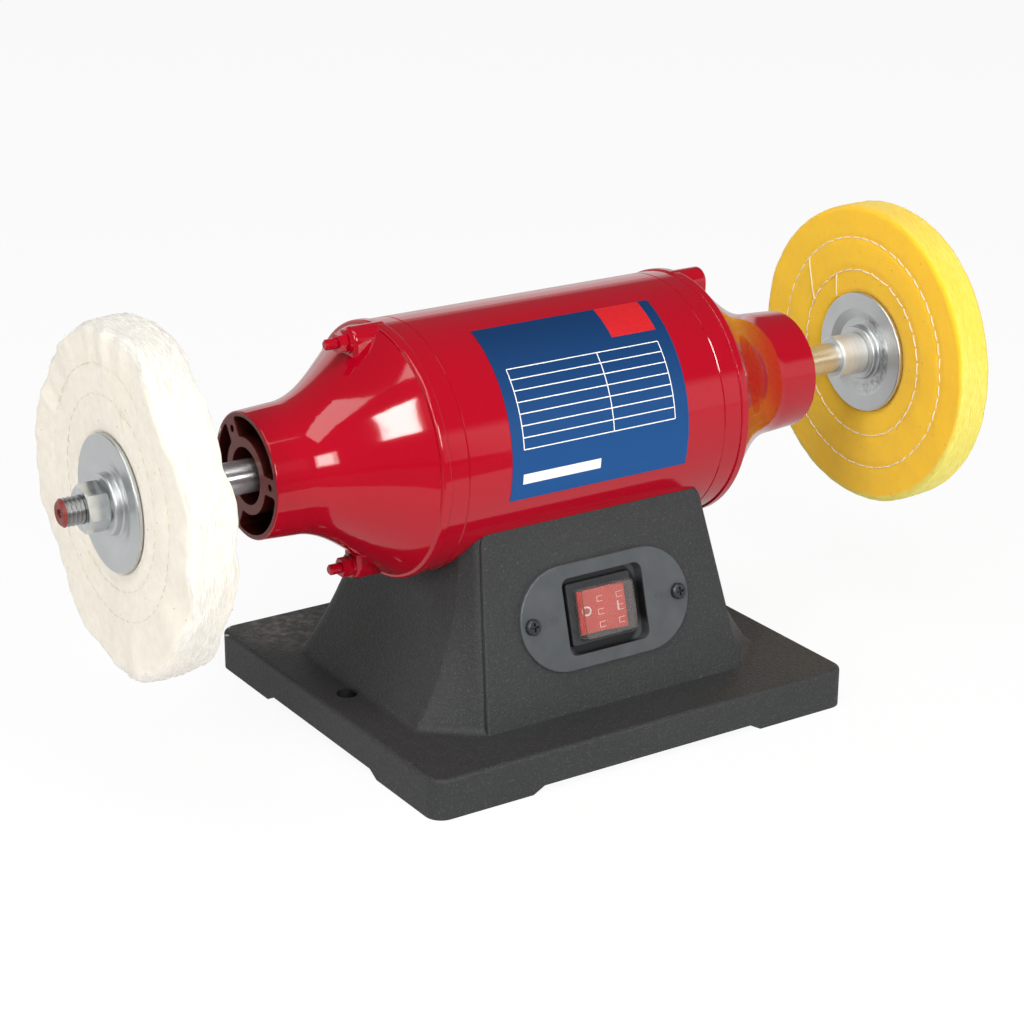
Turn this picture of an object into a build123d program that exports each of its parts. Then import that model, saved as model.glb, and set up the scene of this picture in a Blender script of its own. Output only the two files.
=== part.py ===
# Bench buffer: a motor on a cast pedestal that turns a cotton wheel at each end of its spindle.
# The spindle runs along X, the switch faces -Y and the feet stand on Z = 0. Sizes are in mm.
import os
from math import atan, cos, pi, radians, sin, sqrt

from build123d import *

os.makedirs("parts", exist_ok=True)

# Base plate and its cast feet
base_length = 229.2
base_width = 202.4
base_top = 19.3
base_corner = 8.0
base_edge_round = 2.0
base_skirt = 6.0
base_deck = 6.0
foot_height = 3.2
foot_length = 51.0
foot_width = 50.0
foot_ramp = 6.0
bench_hole_spacing = 200.0
bench_hole_dia = 10.0
bench_boss_dia = 20.0

# Pedestal, widest at the plate, with its front pad
pedestal_length_top = 128.5
pedestal_length_bottom = 189.0
pedestal_width_top = 95.0
pedestal_width_bottom = 124.0
pedestal_flare_drop = 25.3
pedestal_ridge_top = 39.5
pedestal_ridge_bottom = 52.0
pedestal_ridge_round = 2.5
pedestal_front_corner = 5.0
pedestal_rear_corner = 12.0
pedestal_foot_round = 4.0
pedestal_wall = 5.0
pedestal_roof = 6.0
pedestal_levels = 7
pad_top_drop = 30.3
pad_foot_reach = 74.0
pad_width_top = 120.0
pad_width_bottom = 143.0
pad_rise_top = 1.2
pad_rise_bottom = 3.0
pad_margin = 1.0
pad_depth = 10.0
pad_corner = 8.0
pad_tuck = 2.0
pad_edge_round = 1.0
pad_shift = 1.5
saddle_gap = 0.1

# Motor drum
spindle_height = 135.3
drum_radius = 58.5
drum_wall = 2.0
drum_half_length = 69.8
drum_screw_dia = 6.0
drum_screw_station = 53.0
drum_screw_angle = 28.0
drum_screw_clearance = 0.3
drum_screw_head_flats = 10.0
drum_screw_head = 4.0
drum_spot_face = 1.0
weld_nut_thickness = 5.0
lead_hole_dia = 12.0
lead_hole_station = -38.0
label_length = 97.2
label_top_angle = 69.0
label_bottom_angle = -14.0
label_thickness = 0.25
label_gap = 0.02

# End bells
bell_length = 78.9
bell_bead_offset = 9.5
bell_bead_width = 4.3
bell_bead_rise = 0.7
bell_bead_round = 0.6
bell_rim_round = 1.2
seam_chamfer = 0.4
bell_flare_offset = 14.25
bell_flare_drop = 1.24
bell_shoulder_run = 14.4
bell_shoulder_fall = 10.6
bell_flare_run = 18.1
bell_neck_length = 16.7
bell_neck_radius = 29.8
bell_end_radius = 28.8
bell_end_wall = 2.3
bell_end_round = 0.8
bell_wall = 4.5
bell_flare_wall = 4.8
bell_spigot = 4.0
bell_spigot_gap = 0.05
bell_web = 4.0
bell_boss_radius = 17.4
bell_boss_bore = 26.0
bell_rib_count = 3
bell_rib_phase = 3.0
bell_rib_width = 8.2
bell_rib_bite = 1.5
bell_rib_round = 1.5
guard_hole_circle = 44.0
guard_hole_dia = 3.4
guard_hole_depth = 10.0

# Tie rods that clamp the bells to the drum
rod_circle_radius = 53.0
rod_dia = 5.0
rod_clearance = 0.3
rod_end_gap = 1.0
lug_radius = 6.5
lug_reach = 12.95
lug_foot = 8.0
lug_round = 2.0
lug_floor = 4.0
rod_nut_flats = 8.0
rod_nut_height = 4.5
rod_nut_flange_dia = 11.0
rod_nut_flange = 1.2
rod_stub = 5.8
rod_chamfer = 0.8
rod_notch = 7.0

# Bearings
bearing_od = 35.0
bearing_width = 11.0
bearing_ring = 3.2
bearing_inset = 31.7
bearing_fit = 0.02
bearing_housing_wall = 5.0
ball_dia = 6.0
ball_count = 8
ball_gap = 0.12
cage_thickness = 1.6
cage_width = 8.2
cage_pocket_gap = 0.25
seal_thickness = 0.8
seal_gap = 0.3
washer_thickness = 0.6
washer_width = 4.0
washer_gap = 0.5

# Stator and rotor
stack_half_length = 27.5
stator_fit = 0.05
air_gap = 0.4
rotor_radius = 30.6
slot_count = 24
slot_width = 4.6
slot_depth = 13.0
slot_mouth = 1.6
slot_tip = 2.0
slot_lining = 0.35
end_turn_length = 18.0
end_turn_inner = 33.5
end_turn_outer = 49.5
end_turn_gap = 2.0
end_turn_round = 4.0
rotor_bar_count = 18
rotor_bar_dia = 6.0
rotor_bar_cover = 1.2
rotor_bar_fit = 0.03
rotor_end_ring = 8.0
rotor_end_ring_width = 14.0
rotor_end_ring_inset = 0.6
rotor_fit = 0.02

# Spindle and what it carries at each end
spindle_core_dia = 18.0
spindle_journal_dia = 15.0
spindle_thread_dia = 12.7
thread_pitch = 2.0
thread_depth = 1.1
thread_turns = 17
spindle_stub = 9.5
spindle_tip_chamfer = 1.2
centre_hole_dia = 4.0
centre_hole_depth = 5.0
journal_overhang = 33.6
spindle_fit = 0.05
sleeve_length = 15.7
sleeve_dia = 21.0
sleeve_chamfer = 0.8
flange_dia = 61.0
flange_thickness = 2.5
flange_rim_width = 8.1
flange_dish = 1.5
flange_dish_run = 5.0
flange_hub_dia = 27.2
flange_hub_rise = 2.5
flange_hub_round = 1.0
flange_edge_round = 0.8
wheel_clamp = 9.2
wheel_dia = 150.0
wheel_bore_dia = 13.0
white_wheel_swell_in = 12.5
white_wheel_swell_out = 1.3
yellow_wheel_swell_in = 2.0
yellow_wheel_swell_out = 7.3
wheel_swell_run = 4.0
wheel_gap = 0.2
wheel_rim_round = 4.0
wheel_nut_flats = 19.0
wheel_nut_thickness = 10.0
wheel_nut_turn = -13.5

# Switch, its recessed plate and splash cover
switch_drop = 45.4
switch_shift = 0.3
switch_plate_length = 93.0
switch_plate_height = 49.0
switch_plate_thickness = 1.8
switch_plate_round = 0.7
switch_recess_length = 44.3
switch_recess_height = 36.0
switch_recess_depth = 6.2
switch_recess_corner = 4.0
switch_recess_wall = 1.8
switch_opening_gap = 0.6
switch_screw_spacing = 81.0
plate_screw_dia = 4.0
plate_screw_length = 11.0
plate_screw_head_dia = 7.6
plate_screw_head = 2.4
screw_hole_gap = 0.1
screw_head_round = 1.1
screw_slot_width = 1.0
screw_slot_length = 4.2
screw_slot_depth = 1.3
bezel_length = 36.0
bezel_height = 29.4
bezel_thickness = 2.5
bezel_corner = 1.5
switch_body_height = 24.0
switch_body_depth = 24.0
switch_body_wall = 2.2
switch_cutout_gap = 0.2
rocker_radius = 12.5
rocker_height = 20.0
rocker_side_gap = 0.3
rocker_pivot_depth = 2.5
rocker_crest = 5.0
rocker_valley = 3.2
rocker_skirt = 4.0
rocker_tilt = 11.0
rocker_round = 0.6
rocker_pin_dia = 2.6
rocker_pin_length = 1.2
rocker_pin_fit = 0.06
rocker_well_depth = 11.0
cover_length = 29.0
cover_height = 24.0
cover_rise = 7.5
cover_wall = 0.8
cover_corner = 2.0
tab_width = 6.3
tab_thickness = 0.8
tab_length = 9.0
tab_pitch_x = 14.0
tab_pitch_y = 12.0

# Bottom cover and the electrical pieces behind it
bottom_cover_end_inset = 26.6
bottom_cover_side_inset = 10.2
bottom_cover_thickness = 1.5
bottom_cover_height = 5.0
bottom_cover_corner = 10.0
cover_screw_end_inset = 13.0
cover_screw_side_inset = 11.0
cover_screw_dia = 4.0
cover_screw_head_dia = 7.6
cover_screw_head = 2.4
cover_screw_length = 9.0
cover_boss_dia = 10.0
capacitor_dia = 36.0
capacitor_length = 68.0
capacitor_y = 20.0
capacitor_round = 2.0
capacitor_tab_length = 8.0
clamp_width = 16.0
clamp_thickness = 1.2
clamp_gap = 0.1
clamp_foot = 11.0
clamp_screw_dia = 4.0
clamp_screw_head_dia = 7.0
clamp_screw_head = 2.4
clamp_screw_length = 5.0
block_length = 38.0
block_width = 20.0
block_height = 15.0
block_x = -34.0
block_y = -18.0
block_ways = 3
block_way_dia = 5.0
earth_screw_x = 40.0
earth_screw_inset = 23.2
earth_screw_dia = 4.0
earth_screw_length = 4.5
earth_hole_depth = 4.8
earth_screw_head_dia = 7.6
earth_screw_head = 2.6
inlet_x = 45.0
inlet_z = 46.0
inlet_bore_dia = 7.0
inlet_neck_dia = 14.0
inlet_flange_dia = 20.0
inlet_flange = 2.5
grommet_gap = 0.1
lead_bore_dia = 7.0
lead_flange_dia = 17.0
lead_flange = 1.6

# Stations along the spindle, measured from its middle
bell_bead_start = drum_half_length + bell_bead_offset
bell_rim_end = bell_bead_start + bell_bead_width
bell_flare_start = drum_half_length + bell_flare_offset
bell_end = drum_half_length + bell_length
bell_neck_start = bell_end - bell_neck_length
bearing_outer_face = bell_end - bearing_inset
bearing_inner_face = bearing_outer_face - bearing_width
recess_floor = bearing_outer_face + bell_web
lug_face = bell_flare_start + lug_reach
journal_end = bell_end + journal_overhang
sleeve_end = journal_end + sleeve_length
inner_rim_face = sleeve_end + flange_hub_rise
outer_rim_face = inner_rim_face + wheel_clamp + 2 * flange_thickness
nut_seat = outer_rim_face + flange_hub_rise
nut_end = nut_seat + wheel_nut_thickness
spindle_tip = nut_end + spindle_stub
wheel_middle = (inner_rim_face + outer_rim_face) / 2
rim_radius = drum_radius + bell_bead_rise
flare_radius = drum_radius - bell_flare_drop
saddle_radius = drum_radius + saddle_gap
rod_nut = rod_nut_flange + rod_nut_height
weld_nut_face = sqrt((drum_radius - drum_wall) ** 2 - drum_screw_head_flats**2 / 4) - screw_hole_gap
flare_shift = bell_flare_wall / sqrt(2)
drum_bore = drum_radius - drum_wall
stator_bore = rotor_radius + air_gap
spindle_axis = Axis((0, 0, spindle_height), (1, 0, 0))

# Levels and places that follow the spindle's height and the size of the plate
pedestal_flare_top = spindle_height - pedestal_flare_drop
pad_top = spindle_height - pad_top_drop
bottom_cover_length = base_length - 2 * bottom_cover_end_inset
bottom_cover_width = base_width - 2 * bottom_cover_side_inset
cover_screw_spacing_x = bottom_cover_length - 2 * cover_screw_end_inset
cover_screw_spacing_y = bottom_cover_width - 2 * cover_screw_side_inset
earth_screw_y = earth_screw_inset - base_width / 2

# Front pad: a leaning plane whose upper edge lies on the drum
pad_edge_reach = sqrt(drum_radius**2 - (spindle_height - pad_top) ** 2)
pad_lean = atan((pad_foot_reach - pad_edge_reach) / (pad_top - base_top))
pad_length = (pad_top - base_top) / cos(pad_lean)
pad_normal = Vector(0, -cos(pad_lean), sin(pad_lean))
pad_up = Vector(0, sin(pad_lean), cos(pad_lean))
pad_edge = Vector(pad_shift, -pad_edge_reach, pad_top)
pad_plane = Plane(pad_edge, x_dir=(1, 0, 0), z_dir=pad_normal)
switch_edge = Vector(switch_shift, -pad_edge_reach, pad_top)
switch_plane = Plane(switch_edge - pad_up * switch_drop, x_dir=(1, 0, 0), z_dir=pad_normal)
recess_floor_level = switch_plate_thickness - switch_recess_depth
bezel_face = recess_floor_level + bezel_thickness
rocker_pivot = switch_plane.origin + pad_normal * (bezel_face - rocker_pivot_depth)
rocker_plane = Plane(rocker_pivot, x_dir=(1, 0, 0), z_dir=-pad_up)
rocker_lean = Vector(cos(radians(rocker_tilt)), 0, 0) + pad_normal * sin(radians(rocker_tilt))
rocker_rest_plane = Plane(rocker_pivot, x_dir=rocker_lean, z_dir=-pad_up)
rocker_pin_reach = rocker_height / 2 + rocker_pin_length
rocker_well_length = 2 * (rocker_radius + rocker_side_gap)
switch_body_length = rocker_well_length + 2 * switch_body_wall
cover_top = bottom_cover_height + bottom_cover_thickness
clamp_inner = capacitor_dia / 2 + clamp_gap
clamp_outer = clamp_inner + clamp_thickness
clamp_screw_spacing = 2 * clamp_outer + clamp_foot
capacitor_rise = capacitor_dia / 2 + clamp_gap
capacitor_z = cover_top + capacitor_rise
rear_slope = (pedestal_width_bottom - pedestal_width_top) / 2 / (pad_top - base_top)
inlet_point = Vector(inlet_x, pedestal_width_top / 2 + rear_slope * (pad_top - inlet_z), inlet_z)
inlet_plane = Plane(inlet_point, x_dir=(-1, 0, 0), z_dir=(0, 1, rear_slope))
lead_lean = radians(drum_screw_angle)
lead_plane = Plane(
    (lead_hole_station, 0, spindle_height),
    x_dir=(1, 0, 0),
    z_dir=(0, sin(lead_lean), -cos(lead_lean)),
)
ends = ((-1, "left"), (1, "right"))


def save(piece, name):
    """Label a finished piece and write its STEP file."""
    piece.part.label = name
    export_step(piece.part, f"parts/{name}.step")


def end_plane(side):
    """Plane through the spindle axis: x runs outwards to one end, y runs up."""
    return Plane((0, 0, spindle_height), x_dir=(side, 0, 0), z_dir=(0, -side, 0))


def turned(side, *outline):
    """Lathe profile from (distance along the spindle, radius) points."""
    with BuildSketch(end_plane(side)) as profile:
        with BuildLine():
            Polyline(*outline, close=True)
        make_face()
    return profile.sketch


def ring(side, start, end, inner, outer):
    """Rectangular lathe profile between two stations and two radii."""
    return turned(side, (start, inner), (end, inner), (end, outer), (start, outer))


def flare_points(shift):
    """Control points of a bell's flare, from its rim to its neck, moved in by a shift."""
    return (
        (bell_flare_start + shift, flare_radius + shift),
        (bell_flare_start + bell_shoulder_run + shift, flare_radius - bell_shoulder_fall + shift),
        (bell_neck_start - bell_flare_run + shift, bell_neck_radius + shift),
        (bell_neck_start + shift, bell_neck_radius + shift),
    )


def drum_screw_planes():
    """Planes on the spindle axis that look out along each screw under the drum."""
    lean = radians(drum_screw_angle)
    return [
        Plane((x, 0, spindle_height), x_dir=(1, 0, 0), z_dir=(0, y * sin(lean), -cos(lean)))
        for x in (-drum_screw_station, drum_screw_station)
        for y in (-1, 1)
    ]


def pedestal_section(level, wall):
    """Outline of the pedestal at a height, inside a wall thickness: its front corners slant."""
    half_run = (pedestal_length_bottom - pedestal_length_top) / 2
    drop = pedestal_flare_top - base_top
    flare = (half_run**2 + drop**2) / (2 * half_run)
    swell = flare - sqrt(flare**2 - (pedestal_flare_top - level) ** 2)
    fall = (pad_top - level) / (pad_top - base_top)
    half_length = pedestal_length_top / 2 + swell - wall
    rear = (pedestal_width_top + (pedestal_width_bottom - pedestal_width_top) * fall) / 2 - wall
    ridge = pedestal_ridge_top + (pedestal_ridge_bottom - pedestal_ridge_top) * fall - wall
    rise = pad_rise_top + (pad_rise_bottom - pad_rise_top) * fall
    front = pad_edge_reach + (pad_foot_reach - pad_edge_reach) * fall - rise - wall
    front_half = (pad_width_top + (pad_width_bottom - pad_width_top) * fall) / 2 + pad_margin - wall
    with BuildSketch(Plane.XY.offset(level)) as section:
        with BuildLine():
            Polyline(
                (-half_length, rear),
                (half_length, rear),
                (half_length, -ridge),
                (pad_shift + front_half, -front),
                (pad_shift - front_half, -front),
                (-half_length, -ridge),
                close=True,
            )
        make_face()
        fillet(section.vertices().group_by(Axis.Y)[-1], pedestal_rear_corner - wall)
        fillet(section.vertices().group_by(Axis.Y)[0], pedestal_front_corner)
        ridges = section.vertices().filter_by(lambda corner: abs(corner.Y + ridge) < 0.01)
        fillet(ridges, pedestal_ridge_round)
    return section.sketch


def pedestal_heights(bottom):
    """Evenly spaced section heights from a bottom level to the top of the flare."""
    step = (pedestal_flare_top - bottom) / (pedestal_levels - 1)
    return [bottom + step * i for i in range(pedestal_levels)]


def pan_screw(plane, dia, length, head_dia, head):
    """Cross-head screw whose head stands on a plane and whose shank runs into it."""
    with BuildPart(mode=Mode.PRIVATE) as screw:
        with BuildSketch(plane):
            Circle(head_dia / 2)
        extrude(amount=head)
        fillet(screw.edges().sort_by(Axis(plane.origin, plane.z_dir))[-1], screw_head_round)
        with BuildSketch(plane):
            Circle(dia / 2)
        extrude(amount=-length)
        with BuildSketch(plane.offset(head)):
            Rectangle(screw_slot_length, screw_slot_width)
            Rectangle(screw_slot_width, screw_slot_length)
        extrude(amount=-screw_slot_depth, mode=Mode.SUBTRACT)
    return screw.part


# Base casting: plate, feet, flared pedestal with a saddle for the drum, raised front pad
with BuildPart() as pedestal_cavity:
    loft([pedestal_section(level, pedestal_wall) for level in pedestal_heights(0)])
    with Locations((0, 0, spindle_height)):
        Cylinder(
            saddle_radius + pedestal_roof,
            base_length,
            rotation=(0, 90, 0),
            mode=Mode.SUBTRACT,
        )

with BuildPart() as front_pad:
    with BuildSketch(pad_plane) as pad_outline:
        with BuildLine():
            Polyline(
                (-pad_width_top / 2, pad_tuck),
                (pad_width_top / 2, pad_tuck),
                (pad_width_bottom / 2, -pad_length),
                (-pad_width_bottom / 2, -pad_length),
                close=True,
            )
        make_face()
        fillet(pad_outline.vertices().group_by(Axis.Y)[-1], pad_corner)
    extrude(amount=-pad_depth)
    face_edges = front_pad.faces().sort_by(Axis(pad_edge, pad_normal))[-1].edges()
    fillet(face_edges.sort_by(Axis.Z)[1:], pad_edge_round)

with BuildPart() as base_casting:
    with BuildSketch():
        RectangleRounded(base_length, base_width, base_corner)
    extrude(amount=base_top)
    fillet(base_casting.edges().group_by(Axis.Z)[-1], base_edge_round)
    loft([pedestal_section(level, 0) for level in pedestal_heights(base_top - base_deck / 2)])
    foot_edges = base_casting.edges().filter_by(
        lambda edge: edge.bounding_box().size.Z < 0.01
        and abs(edge.center().Z - base_top) < 0.01
        and abs(edge.center().X) < pedestal_length_bottom / 2 + 1
        and abs(edge.center().Y) < pad_foot_reach + 1
    )
    fillet(foot_edges, pedestal_foot_round)
    add(front_pad.part)
    with Locations((0, 0, spindle_height)):
        Cylinder(saddle_radius, base_length, rotation=(0, 90, 0), mode=Mode.SUBTRACT)
    add(pedestal_cavity.part, mode=Mode.SUBTRACT)
    # The plate is hollow under its deck
    with BuildSketch():
        RectangleRounded(
            base_length - 2 * base_skirt,
            base_width - 2 * base_skirt,
            base_corner - base_skirt,
        )
    extrude(amount=base_top - base_deck, mode=Mode.SUBTRACT)
    # Bosses for the bench bolts and for the bottom cover
    with BuildSketch(Plane.XY.offset(foot_height)):
        with GridLocations(bench_hole_spacing, 0, 2, 1):
            Circle(bench_boss_dia / 2)
    extrude(amount=base_top - base_deck - foot_height)
    with BuildSketch(Plane.XY.offset(cover_top)):
        with GridLocations(cover_screw_spacing_x, cover_screw_spacing_y, 2, 2):
            Circle(cover_boss_dia / 2)
    extrude(amount=base_top - base_deck - cover_top)
    # The underside is raised between the four feet
    with BuildSketch(Plane.XZ.offset(-base_width)):
        with BuildLine():
            Polyline(
                (-base_length / 2 + foot_length, 0),
                (base_length / 2 - foot_length, 0),
                (base_length / 2 - foot_length - foot_ramp, foot_height),
                (-base_length / 2 + foot_length + foot_ramp, foot_height),
                close=True,
            )
        make_face()
    extrude(amount=2 * base_width, mode=Mode.SUBTRACT)
    with BuildSketch(Plane.YZ.offset(-base_length)):
        with BuildLine():
            Polyline(
                (-base_width / 2 + foot_width, 0),
                (base_width / 2 - foot_width, 0),
                (base_width / 2 - foot_width - foot_ramp, foot_height),
                (-base_width / 2 + foot_width + foot_ramp, foot_height),
                close=True,
            )
        make_face()
    extrude(amount=2 * base_length, mode=Mode.SUBTRACT)
    # Holes for bench bolts, cover screws, earth screw, switch, drum screws, leads and cable
    with BuildSketch():
        with GridLocations(bench_hole_spacing, 0, 2, 1):
            Circle(bench_hole_dia / 2)
    extrude(amount=base_top, mode=Mode.SUBTRACT)
    with BuildSketch(Plane.XY.offset(bottom_cover_height)):
        with GridLocations(cover_screw_spacing_x, cover_screw_spacing_y, 2, 2):
            Circle(cover_screw_dia / 2 + screw_hole_gap)
    extrude(amount=cover_screw_length + screw_hole_gap, mode=Mode.SUBTRACT)
    with BuildSketch(Plane.XY.offset(base_top - base_deck)):
        with Locations((earth_screw_x, earth_screw_y)):
            Circle(earth_screw_dia / 2 + screw_hole_gap)
    extrude(amount=earth_hole_depth, mode=Mode.SUBTRACT)
    with BuildSketch(switch_plane):
        Rectangle(
            switch_recess_length + 2 * (switch_recess_wall + switch_opening_gap),
            switch_recess_height + 2 * (switch_recess_wall + switch_opening_gap),
        )
    extrude(amount=-pad_foot_reach / 2, mode=Mode.SUBTRACT)
    with BuildSketch(switch_plane):
        with GridLocations(switch_screw_spacing, 0, 2, 1):
            Circle(plate_screw_dia / 2 + screw_hole_gap)
    extrude(amount=-plate_screw_length, mode=Mode.SUBTRACT)
    for plane in drum_screw_planes():
        with BuildSketch(plane):
            Circle(drum_screw_dia / 2 + drum_screw_clearance)
        extrude(amount=drum_radius + 2 * pedestal_roof, mode=Mode.SUBTRACT)
        with BuildSketch(plane.offset(saddle_radius + pedestal_roof - drum_spot_face)):
            Circle(drum_screw_head_flats / sqrt(3) + drum_screw_clearance)
        extrude(amount=pedestal_roof, mode=Mode.SUBTRACT)
    with BuildSketch(lead_plane):
        Circle(lead_hole_dia / 2 + grommet_gap)
    extrude(amount=drum_radius + 2 * pedestal_roof, mode=Mode.SUBTRACT)
    with BuildSketch(inlet_plane):
        Circle(inlet_neck_dia / 2 + grommet_gap)
    extrude(amount=-2 * pedestal_wall, mode=Mode.SUBTRACT)

save(base_casting, "base_casting")

# Rubber grommet in the rear wall, where a supply cable goes in
with BuildPart() as cable_grommet:
    with BuildSketch(inlet_plane):
        Circle(inlet_flange_dia / 2)
    extrude(amount=inlet_flange)
    fillet(cable_grommet.edges().sort_by_distance(inlet_plane.origin)[-1], inlet_flange / 2)
    with BuildSketch(inlet_plane):
        Circle(inlet_neck_dia / 2)
    extrude(amount=-pedestal_wall - grommet_gap)
    with BuildSketch(inlet_plane.offset(-pedestal_wall - grommet_gap)):
        Circle(inlet_flange_dia / 2)
    extrude(amount=-inlet_flange)
    with BuildSketch(inlet_plane.offset(inlet_flange)):
        Circle(inlet_bore_dia / 2)
    extrude(amount=-2 * inlet_flange - pedestal_wall - grommet_gap, mode=Mode.SUBTRACT)

save(cable_grommet, "cable_grommet")

# Sheet steel cover under the base, with the screws that hold it
with BuildPart() as bottom_cover:
    with BuildSketch(Plane.XY.offset(bottom_cover_height)):
        RectangleRounded(bottom_cover_length, bottom_cover_width, bottom_cover_corner)
        with GridLocations(cover_screw_spacing_x, cover_screw_spacing_y, 2, 2):
            Circle(cover_screw_dia / 2 + screw_hole_gap, mode=Mode.SUBTRACT)
        with Locations((0, capacitor_y)):
            with GridLocations(0, clamp_screw_spacing, 1, 2):
                Circle(clamp_screw_dia / 2 + screw_hole_gap, mode=Mode.SUBTRACT)
    extrude(amount=bottom_cover_thickness)

save(bottom_cover, "bottom_cover")

screws = []
for x in (-cover_screw_spacing_x / 2, cover_screw_spacing_x / 2):
    for y in (-cover_screw_spacing_y / 2, cover_screw_spacing_y / 2):
        seat = Plane((x, y, bottom_cover_height), z_dir=(0, 0, -1))
        screws.append(
            pan_screw(seat, cover_screw_dia, cover_screw_length, cover_screw_head_dia, cover_screw_head)
        )

with BuildPart() as bottom_cover_screws:
    add(screws)

save(bottom_cover_screws, "bottom_cover_screws")

# Run capacitor, laid on the bottom cover under a saddle clamp
with BuildPart() as run_capacitor:
    with BuildSketch(Plane((-capacitor_length / 2, capacitor_y, capacitor_z), z_dir=(1, 0, 0))):
        Circle(capacitor_dia / 2)
    extrude(amount=capacitor_length)
    fillet(run_capacitor.edges().filter_by(GeomType.CIRCLE), capacitor_round)
    with BuildSketch(Plane((capacitor_length / 2, capacitor_y, capacitor_z), z_dir=(1, 0, 0))):
        with GridLocations(tab_pitch_x, 0, 2, 1):
            Rectangle(tab_thickness, tab_width)
    extrude(amount=capacitor_tab_length)

save(run_capacitor, "run_capacitor")

with BuildPart() as capacitor_clamp:
    with BuildSketch(Plane((-clamp_width / 2, capacitor_y, capacitor_z), x_dir=(0, 1, 0), z_dir=(1, 0, 0))):
        Circle(clamp_outer)
        with Locations((0, -capacitor_rise / 2)):
            Rectangle(2 * clamp_outer, capacitor_rise)
        with Locations((0, clamp_thickness / 2 - capacitor_rise)):
            Rectangle(2 * (clamp_outer + clamp_foot), clamp_thickness)
        Circle(clamp_inner, mode=Mode.SUBTRACT)
        with Locations((0, -clamp_outer / 2)):
            Rectangle(2 * clamp_inner, clamp_outer, mode=Mode.SUBTRACT)
        with Locations((0, -capacitor_rise - clamp_outer)):
            Rectangle(4 * clamp_outer, 2 * clamp_outer, mode=Mode.SUBTRACT)
    extrude(amount=clamp_width)
    with BuildSketch(Plane.XY.offset(cover_top)):
        with Locations((0, capacitor_y)):
            with GridLocations(0, clamp_screw_spacing, 1, 2):
                Circle(clamp_screw_dia / 2 + screw_hole_gap)
    extrude(amount=clamp_thickness, mode=Mode.SUBTRACT)

save(capacitor_clamp, "capacitor_clamp")

screws = []
for y in (-clamp_screw_spacing / 2, clamp_screw_spacing / 2):
    seat = Plane((0, capacitor_y + y, cover_top + clamp_thickness))
    screws.append(
        pan_screw(seat, clamp_screw_dia, clamp_screw_length, clamp_screw_head_dia, clamp_screw_head)
    )

with BuildPart() as capacitor_clamp_screws:
    add(screws)

save(capacitor_clamp_screws, "capacitor_clamp_screws")

# Terminal block with a wire hole and a screw hole for each way
with BuildPart() as terminal_block:
    with BuildSketch(Plane((block_x, block_y, cover_top))):
        Rectangle(block_length, block_width)
    extrude(amount=block_height)
    chamfer(terminal_block.edges().filter_by(Axis.X).group_by(Axis.Z)[-1], block_way_dia / 2)
    block_front = (block_x, block_y - block_width / 2, cover_top + block_height / 2)
    with BuildSketch(Plane(block_front, z_dir=(0, 1, 0))):
        with GridLocations(block_length / block_ways, 0, block_ways, 1):
            Circle(block_way_dia / 2)
    extrude(amount=block_width, mode=Mode.SUBTRACT)
    with BuildSketch(Plane((block_x, block_y, cover_top + block_height))):
        with GridLocations(block_length / block_ways, 0, block_ways, 1):
            Circle(block_way_dia / 2)
    extrude(amount=-block_height / 2, mode=Mode.SUBTRACT)

save(terminal_block, "terminal_block")

seat = Plane((earth_screw_x, earth_screw_y, base_top - base_deck), z_dir=(0, 0, -1))
screw = pan_screw(seat, earth_screw_dia, earth_screw_length, earth_screw_head_dia, earth_screw_head)

with BuildPart() as earth_screw:
    add(screw)

save(earth_screw, "earth_screw")

# Moulded switch plate with a recess that the switch sits in
with BuildPart() as switch_plate:
    with BuildSketch(switch_plane):
        SlotOverall(switch_plate_length, switch_plate_height)
    extrude(amount=switch_plate_thickness)
    fillet(
        switch_plate.faces().sort_by(Axis(switch_plane.origin, pad_normal))[-1].edges(),
        switch_plate_round,
    )
    with BuildSketch(switch_plane):
        RectangleRounded(
            switch_recess_length + 2 * switch_recess_wall,
            switch_recess_height + 2 * switch_recess_wall,
            switch_recess_corner + switch_recess_wall,
        )
    extrude(amount=recess_floor_level - switch_recess_wall)
    with BuildSketch(switch_plane.offset(switch_plate_thickness)):
        RectangleRounded(switch_recess_length, switch_recess_height, switch_recess_corner)
    extrude(amount=-switch_recess_depth, mode=Mode.SUBTRACT)
    with BuildSketch(switch_plane.offset(recess_floor_level)):
        Rectangle(switch_body_length + 2 * switch_cutout_gap, switch_body_height + 2 * switch_cutout_gap)
    extrude(amount=-switch_recess_wall, mode=Mode.SUBTRACT)
    with BuildSketch(switch_plane):
        with GridLocations(switch_screw_spacing, 0, 2, 1):
            Circle(plate_screw_dia / 2 + screw_hole_gap)
    extrude(amount=switch_plate_thickness, mode=Mode.SUBTRACT)

save(switch_plate, "switch_plate")

screws = []
for x in (-switch_screw_spacing / 2, switch_screw_spacing / 2):
    seat_point = switch_plane.origin + Vector(x, 0, 0) + pad_normal * switch_plate_thickness
    seat = Plane(seat_point, x_dir=(1, 0, 0), z_dir=pad_normal)
    screws.append(
        pan_screw(seat, plate_screw_dia, plate_screw_length, plate_screw_head_dia, plate_screw_head)
    )

with BuildPart() as switch_plate_screws:
    add(screws)

save(switch_plate_screws, "switch_plate_screws")

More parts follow.
